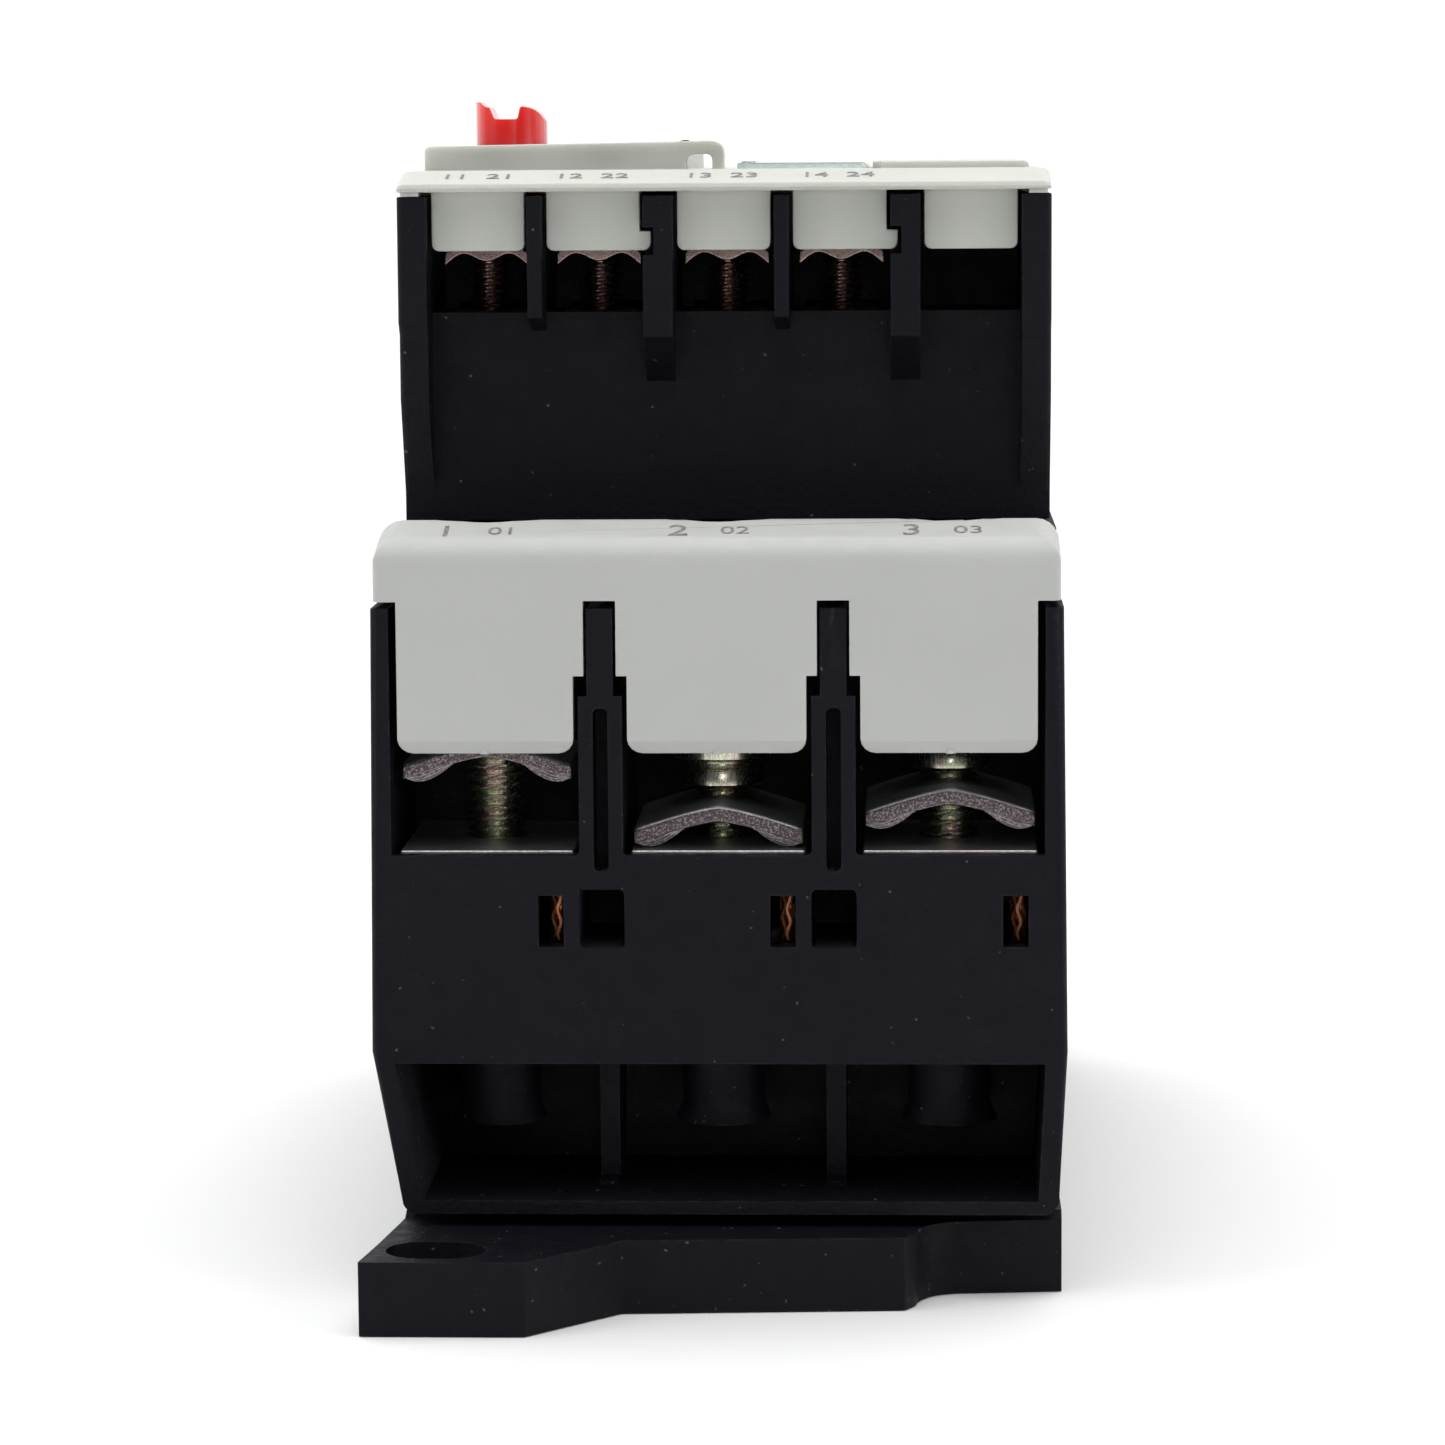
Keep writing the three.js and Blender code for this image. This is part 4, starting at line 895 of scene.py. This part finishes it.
# ---------------------------------------------------------------------------
# Markings
# ---------------------------------------------------------------------------
# The sloped strips that carry the numerals: how far they run back and how much they rise
COVER_STRIP = (4.2, 1.07)
FASCIA_STRIP = (3.8, 0.82)
FASCIA_SHEET_TOP = 73.8
INK_LIFT = 0.01
INK_HALF_THICKNESS = 0.02


def make_mark(name, text, size, place, across, up, body):
    """Printed characters, drawn from the middle of their line at place (millimetres)."""
    curve = bpy.data.curves.new(name, "FONT")
    curve.body = text
    curve.size = size * MM
    curve.align_x = "CENTER"
    curve.align_y = "CENTER"
    curve.extrude = INK_HALF_THICKNESS * MM
    drawn = bpy.data.objects.new("drawn", curve)
    bpy.context.scene.collection.objects.link(drawn)
    mesh = bpy.data.meshes.new_from_object(drawn.evaluated_get(bpy.context.evaluated_depsgraph_get()))
    bpy.data.objects.remove(drawn)
    out = Vector(across).cross(Vector(up)).normalized()
    turn = Matrix((Vector(across).normalized(), Vector(up).normalized(), out)).transposed().to_4x4()
    mesh.transform(Matrix.Translation(Vector(place) * MM) @ turn)
    bm = bmesh.new()
    bm.from_mesh(mesh)
    bmesh.ops.remove_doubles(bm, verts=bm.verts, dist=0.0001 * MM)
    bm.to_mesh(mesh)
    bm.free()
    mesh.materials.clear()
    mesh.materials.append(looks["ink"])
    mark = bpy.data.objects.new(name, mesh)
    bpy.context.scene.collection.objects.link(mark)
    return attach(mark, body)


def make_strip_mark(name, text, size, x, front, top, strip, back):
    """A mark on a strip that rises to top behind a part's front, back from that front."""
    run, rise = strip
    place = (x, front + back, top - rise + back * rise / run + INK_LIFT)
    make_mark(name, text, size, place, (1, 0, 0), Vector((0, run, rise)).normalized(), "root")


def make_marks():
    """Plain numerals on the cover's sloped strip and on the fascia's front edge."""
    low, high = node_box("terminal_cover")
    for pole in POLES:
        x = node_middle(f"main_screw_{pole}").x
        strip = (low.y, high.z, COVER_STRIP, 2.2)
        make_strip_mark(f"cover_mark_{pole}", str(pole), 2.9, x - 2.5, *strip)
        make_strip_mark(f"cover_mark_{pole}_small", f"0{pole}", 2.0, x + 1.2, *strip)
    low, _ = node_box("front_fascia")
    for terminal in AUX_TERMINALS:
        x = node_middle(f"aux_screw_{terminal}").x
        strip = (low.y, FASCIA_SHEET_TOP, FASCIA_STRIP, 2.0)
        text = f"{10 + terminal}  {20 + terminal}"
        make_strip_mark(f"fascia_mark_{terminal}", text, 2.0, x - 0.2, *strip)


# ---------------------------------------------------------------------------
# Buttons and dial
# ---------------------------------------------------------------------------
def make_controls():
    rounded_node("stop_button", "stop_red", width=0.08, above=35)
    rounded_node("reset_button", "reset_blue", width=0.12)
    rounded_node("mode_selector", "reset_blue", width=0.12)
    rounded_node("current_dial", "cover_grey", width=0.1)


# ---------------------------------------------------------------------------
# Terminals
# ---------------------------------------------------------------------------
# A screw stands on its tip: its thread (crest radius, root radius, pitch, length), its head (radius, height),
# its cross recess (half length, half width, depth) and its finish.
MAIN_SCREW = {
    "thread": (1.95, 1.52, 0.7, 14.0),
    "head": (
        (1.6, 13.7), (2.6, 13.95), (2.8, 14.15), (2.8, 15.2), (2.45, 15.35), (2.45, 15.7), (3.15, 15.8),
        (3.3, 15.95), (3.3, 17.5), (3.2, 17.8), (2.9, 18.1),
    ),
    "recess": (2.0, 0.42, 1.7),
    "look": "zinc_screw",
}
AUX_SCREW = {
    "thread": (1.45, 1.1, 0.5, 10.9),
    "head": ((1.2, 10.8), (2.35, 10.95), (2.5, 11.1), (2.5, 12.2), (2.35, 12.5), (2.1, 12.7)),
    "recess": (1.5, 0.33, 1.1),
    "look": "browned_copper",
}

# The main clamp, from the screw's axis and the arch's top
CLAMP_HALF_WIDTH = 5.55
CLAMP_DROP = 1.5
CLAMP_THICKNESS = 1.05
CLAMP_HEIGHT = 2.75
CLAMP_FRONT = -6.9
CLAMP_LENGTH = 11.3
CLAMP_BORE = 2.15
CLAMP_AXIS_BACK = 1.25  # from the middle of its length to the screw's axis
PADS_PER_WING = 3
PAD_INSIDE = 2.05
PAD_INSET = 0.16  # of each pad from the one above it
PAD_FRONT, PAD_LENGTH = -6.15, 10.2
PAD_SAG = 0.72
TEETH_PER_WING = 15
TOOTH_SPACING = 0.21
TOOTH_RADIUS = 0.085

AUX_CLAMP_HALF_WIDTH = 2.9
AUX_CLAMP_THICKNESS = 0.8
AUX_CLAMP_FRONT = -3.4
AUX_CLAMP_LENGTH = 6.4
AUX_CLAMP_BORE = 1.6


def make_screw(node, thread, head, recess, look):
    """A terminal screw: a real thread up to a turned head with a cross recess."""
    low, _ = node_box(node)
    axis = node_middle(node)
    shank = bmesh.new()
    add_thread(shank, *thread)
    top = bmesh.new()
    add_revolved(top, head)
    arm, wide, depth = recess
    crown = head[-1][1]
    for across, along in ((arm, wide), (wide, arm)):
        cutter = bmesh.new()
        add_box(cutter, (-across, -along, crown - depth), (across, along, crown + 1))
        top = cut(top, cutter)
    round_edges(top, 0.06, segments=1, above=50)
    bm = joined(top, shank)
    bm.transform(Matrix.Translation((axis.x, axis.y, low.z)))
    return stand_for(make_piece(node + "_turned", bm, look), node)


def clamp_top(x):
    return -CLAMP_DROP * (abs(x) / CLAMP_HALF_WIDTH) ** 1.3


def pierced_strip(outline, front, length, bore):
    """A pressed strip of one section along Y, with the screw's bore."""
    strip = bmesh.new()
    add_prism(strip, outline, length, along_y(front))
    hole = bmesh.new()
    add_rings(hole, bore)
    return cut(strip, hole)


def make_saddle():
    """The main clamp's arched strip, its upper front edge worn round."""
    xs = spread(-CLAMP_HALF_WIDTH, CLAMP_HALF_WIDTH, 28)
    outline = [(x, clamp_top(x) - CLAMP_THICKNESS) for x in xs]
    outline += [(x, clamp_top(x)) for x in reversed(xs)]

    def on_top(point):
        return near(point.z, clamp_top(point.x), slack=0.05)

    def front_brow(a, b):
        return both_near(Y, a, b, CLAMP_FRONT) and on_top(a) and on_top(b)

    bore = [circle(CLAMP_BORE, z, 32) for z in (-4, 1)]
    bm = pierced_strip(outline, CLAMP_FRONT, CLAMP_LENGTH, bore)
    round_edges(bm, 0.34, segments=4, above=45, pick=front_brow)
    round_edges(bm, 0.12, above=50)
    return bm


def add_wire_pads(bm):
    """Pads stacked under each wing, each hanging in a curve between the arch's foot and the wing's tip."""
    for side in SIDES:
        for layer in range(PADS_PER_WING):
            inset = PAD_INSET * layer
            inner = Vector((side * (PAD_INSIDE + inset), clamp_top(2.0) - CLAMP_THICKNESS + 0.1))
            tip = side * (CLAMP_HALF_WIDTH - 0.6 * inset)
            outer = Vector((tip, clamp_top(CLAMP_HALF_WIDTH) - CLAMP_THICKNESS + 0.1))
            pull = Vector((side * 4.2, -CLAMP_HEIGHT - PAD_SAG + 0.42 * layer))
            points = []
            for t in spread(0, 1, 12):
                point = inner * (1 - t) ** 2 + pull * 2 * t * (1 - t) + outer * t * t
                points.append((point.x, point.y))
            add_prism(bm, points, PAD_LENGTH + 0.3 * layer, along_y(PAD_FRONT - inset))


def add_teeth(bm):
    """Fine ribs along the underside of each wing."""
    for side in SIDES:
        for tooth in range(TEETH_PER_WING):
            x = side * (2.35 + TOOTH_SPACING * tooth)
            z = clamp_top(x) - CLAMP_THICKNESS - 0.04
            add_tube(bm, [Vector((x, -6.4, z)), Vector((x, 4.0, z))], TOOTH_RADIUS, sides=6)


def make_main_clamp(node, turned):
    """Saddle clamp with pads and teeth. The line end's clamps are turned to face the other way."""
    trim = bmesh.new()
    add_wire_pads(trim)
    add_teeth(trim)
    bm = joined(make_saddle(), trim)
    _, high = node_box(node)
    middle = node_middle(node)
    axis_y = middle.y - CLAMP_AXIS_BACK if turned else middle.y + CLAMP_AXIS_BACK
    turn = Matrix.Rotation(math.pi if turned else 0, 4, "Z")
    bm.transform(Matrix.Translation((middle.x, axis_y, high.z)) @ turn)
    return stand_for(make_piece(node + "_pressed", bm, "zinc_pressed"), node)


def aux_clamp_wave(x):
    return 0.32 * (1 - math.cos(math.pi * x / 1.7)) - 0.05 * x * x


def make_aux_clamp(node):
    """Small wavy clamp plate."""
    _, high = node_box(node)
    middle = node_middle(node)
    xs = spread(-AUX_CLAMP_HALF_WIDTH, AUX_CLAMP_HALF_WIDTH, 30)
    outline = [(x, aux_clamp_wave(x)) for x in xs]
    outline += [(x, aux_clamp_wave(x) + AUX_CLAMP_THICKNESS) for x in reversed(xs)]
    bore = [circle(AUX_CLAMP_BORE, z, 28) for z in (-2, 3)]
    bm = pierced_strip(outline, AUX_CLAMP_FRONT, AUX_CLAMP_LENGTH, bore)
    round_edges(bm, 0.09, above=45)
    crest = max(aux_clamp_wave(x) for x in xs) + AUX_CLAMP_THICKNESS
    bm.transform(Matrix.Translation((middle.x, middle.y + 0.2, high.z - crest)))
    return stand_for(make_piece(node + "_pressed", bm, "browned_copper"), node)


def make_terminals():
    for end in ("main", "line"):
        for pole in POLES:
            make_main_clamp(f"{end}_clamp_{pole}", turned=end == "line")
            make_screw(f"{end}_screw_{pole}", **MAIN_SCREW)
    for pole in POLES:
        rounded_node(f"load_terminal_plate_{pole}", "zinc_plate", width=0.12)
        rounded_node(f"line_terminal_plate_{pole}", "zinc_plate", width=0.12)
    for terminal in AUX_TERMINALS:
        make_aux_clamp(f"aux_clamp_{terminal}")
        make_screw(f"aux_screw_{terminal}", **AUX_SCREW)
        rounded_node(f"aux_terminal_plate_{terminal}", "browned_copper", width=0.08)


# ---------------------------------------------------------------------------
# Thermal system and trip mechanism
# ---------------------------------------------------------------------------
# The heater's wire, wound round the bimetal: radius, pitch, lowest and highest turn, the loop's half sizes
WIRE = 0.36
WIRE_PITCH = 0.82
WIRE_LOW, WIRE_HIGH = 20.5, 36.5
LOOP_HALF_X, LOOP_HALF_Y, LOOP_CORNER = 1.22, 3.65, 0.7

# Its stranded lead, which runs forward from the winding's foot and then up behind the small slot
STRAND = 0.17
STRAND_STEP = 0.34
LEAD_SIDE = 4.85  # from the winding's middle
LEAD_BACK, LEAD_RUN = -1.9, 34.2
LEAD_FRONT = -36.4
LEAD_LOW, LEAD_HIGH, LEAD_END = 22.2, 23.1, 27.4
LEAD_TWIST, LEAD_TWISTS = 0.16, 9  # how far a strand sways on the way forward, and how often
LEAD_WAVE, LEAD_WAVES = 0.12, 2.6  # the same on the way up


def winding_loop():
    """One turn as a rounded rectangle about its middle."""
    loop = []
    for sx, sy, start in ((1, 1, 0), (-1, 1, 90), (-1, -1, 180), (1, -1, 270)):
        for step in range(4):
            angle = math.radians(start + 30 * step)
            x = sx * (LOOP_HALF_X - LOOP_CORNER) + LOOP_CORNER * math.cos(angle)
            y = sy * (LOOP_HALF_Y - LOOP_CORNER) + LOOP_CORNER * math.sin(angle)
            loop.append((x, y))
    return loop


def make_winding(node, centre):
    """The wire as one rising path through the loop's corners, turn after turn."""
    loop = winding_loop()
    turns = round((WIRE_HIGH - WIRE_LOW) / WIRE_PITCH)
    path = []
    for i in range(turns * len(loop) + 1):
        x, y = loop[i % len(loop)]
        path.append(Vector((centre.x + x, centre.y + y, WIRE_LOW + WIRE_PITCH * i / len(loop))))
    winding = bmesh.new()
    add_tube(winding, path, WIRE, sides=7)
    stand_for(make_piece(node + "_wound", winding, "heater"), node)


def strand_path(number, x, deep):
    """One strand, swaying round its neighbours: forward first, then up."""
    phase = number / 9
    path = []
    for share in spread(0, 1, 60):
        twist = LEAD_TWIST * math.sin(math.tau * (LEAD_TWISTS * share + phase))
        y = LEAD_BACK - LEAD_RUN * share + deep
        path.append(Vector((x + twist * 0.6, y, LEAD_LOW + (LEAD_HIGH - LEAD_LOW) * share + twist)))
    top = LEAD_END - 0.45 * (number % 3)
    steps = 12
    for i in range(1, steps + 1):
        wave = LEAD_WAVE * math.sin(math.tau * (LEAD_WAVES * i / steps + phase))
        path.append(Vector((x + wave, LEAD_FRONT + deep, LEAD_HIGH + (top - LEAD_HIGH) * i / steps)))
    return path


def make_lead(node, centre):
    """Nine strands, and the tab that joins them to the winding's foot."""
    side = centre.x + LEAD_SIDE
    places = [(STRAND_STEP * column, STRAND_STEP * row) for column in range(3) for row in range(3)]
    lead = bmesh.new()
    for number, (across, deep) in enumerate(places):
        add_tube(lead, strand_path(number, side - across, deep), STRAND, sides=6)
    add_box(lead, (centre.x + 1.3, -3.4, 21.5), (side + 0.2, -1.8, 22.5))
    strap = make_piece(node + "_lead", lead, "copper")
    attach(strap, "root")


def make_heater(pole):
    """Resistance wire wound round the bimetal, with the stranded copper lead to the terminal."""
    node = f"heater_winding_{pole}"
    strip_low, _ = node_box(f"bimetal_strip_{pole}")
    strip_half_thickness, strip_half_width = 0.45, 3
    centre = Vector((strip_low.x + strip_half_thickness, strip_low.y + strip_half_width, 0))
    make_winding(node, centre)
    make_lead(node, centre)


def make_spring(node):
    """Coil spring with closed ends, on a mesh of its own."""
    low, high = node_box(node)
    middle = node_middle(node)
    wire = 0.3
    radius = (high.x - low.x) / 2 - wire
    length = high.z - low.z
    turns, steps_per_turn = 7.5, 28
    end_closing = 0.55
    path = []
    for share in spread(0, 1, round(turns * steps_per_turn)):
        eased = share - math.sin(math.tau * share) / math.tau * end_closing
        angle = math.tau * turns * share
        height = low.z + wire + (length - 2 * wire) * eased
        x = middle.x + radius * math.cos(angle)
        y = middle.y + radius * math.sin(angle)
        path.append(Vector((x, y, height)))
    bm = bmesh.new()
    add_tube(bm, path, wire, sides=10)
    spring = stand_for(make_piece(node + "_coil", bm, "spring_steel"), node)
    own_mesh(spring)


def make_mechanism():
    for pole in POLES:
        make_heater(pole)
        rounded_node(f"bimetal_strip_{pole}", "bimetal", width=0.08)
        rounded_node(f"line_blade_{pole}", "copper", width=0.12)
    rounded_node("trip_slide", "inner_plastic", width=0.1)
    rounded_node("differential_slide", "inner_plastic", width=0.1)
    rounded_node("compensation_lever", "bimetal", width=0.1)
    rounded_node("contact_carrier", "inner_plastic", width=0.1)
    rounded_node("nc_bridge", "copper", width=0.1)
    rounded_node("no_bridge", "copper", width=0.1)
    make_spring("stop_spring")
    make_spring("reset_spring")


make_camera()
make_studio()
make_floor()
looks = make_looks()
make_mouldings()
make_marks()
make_controls()
make_terminals()
make_mechanism()
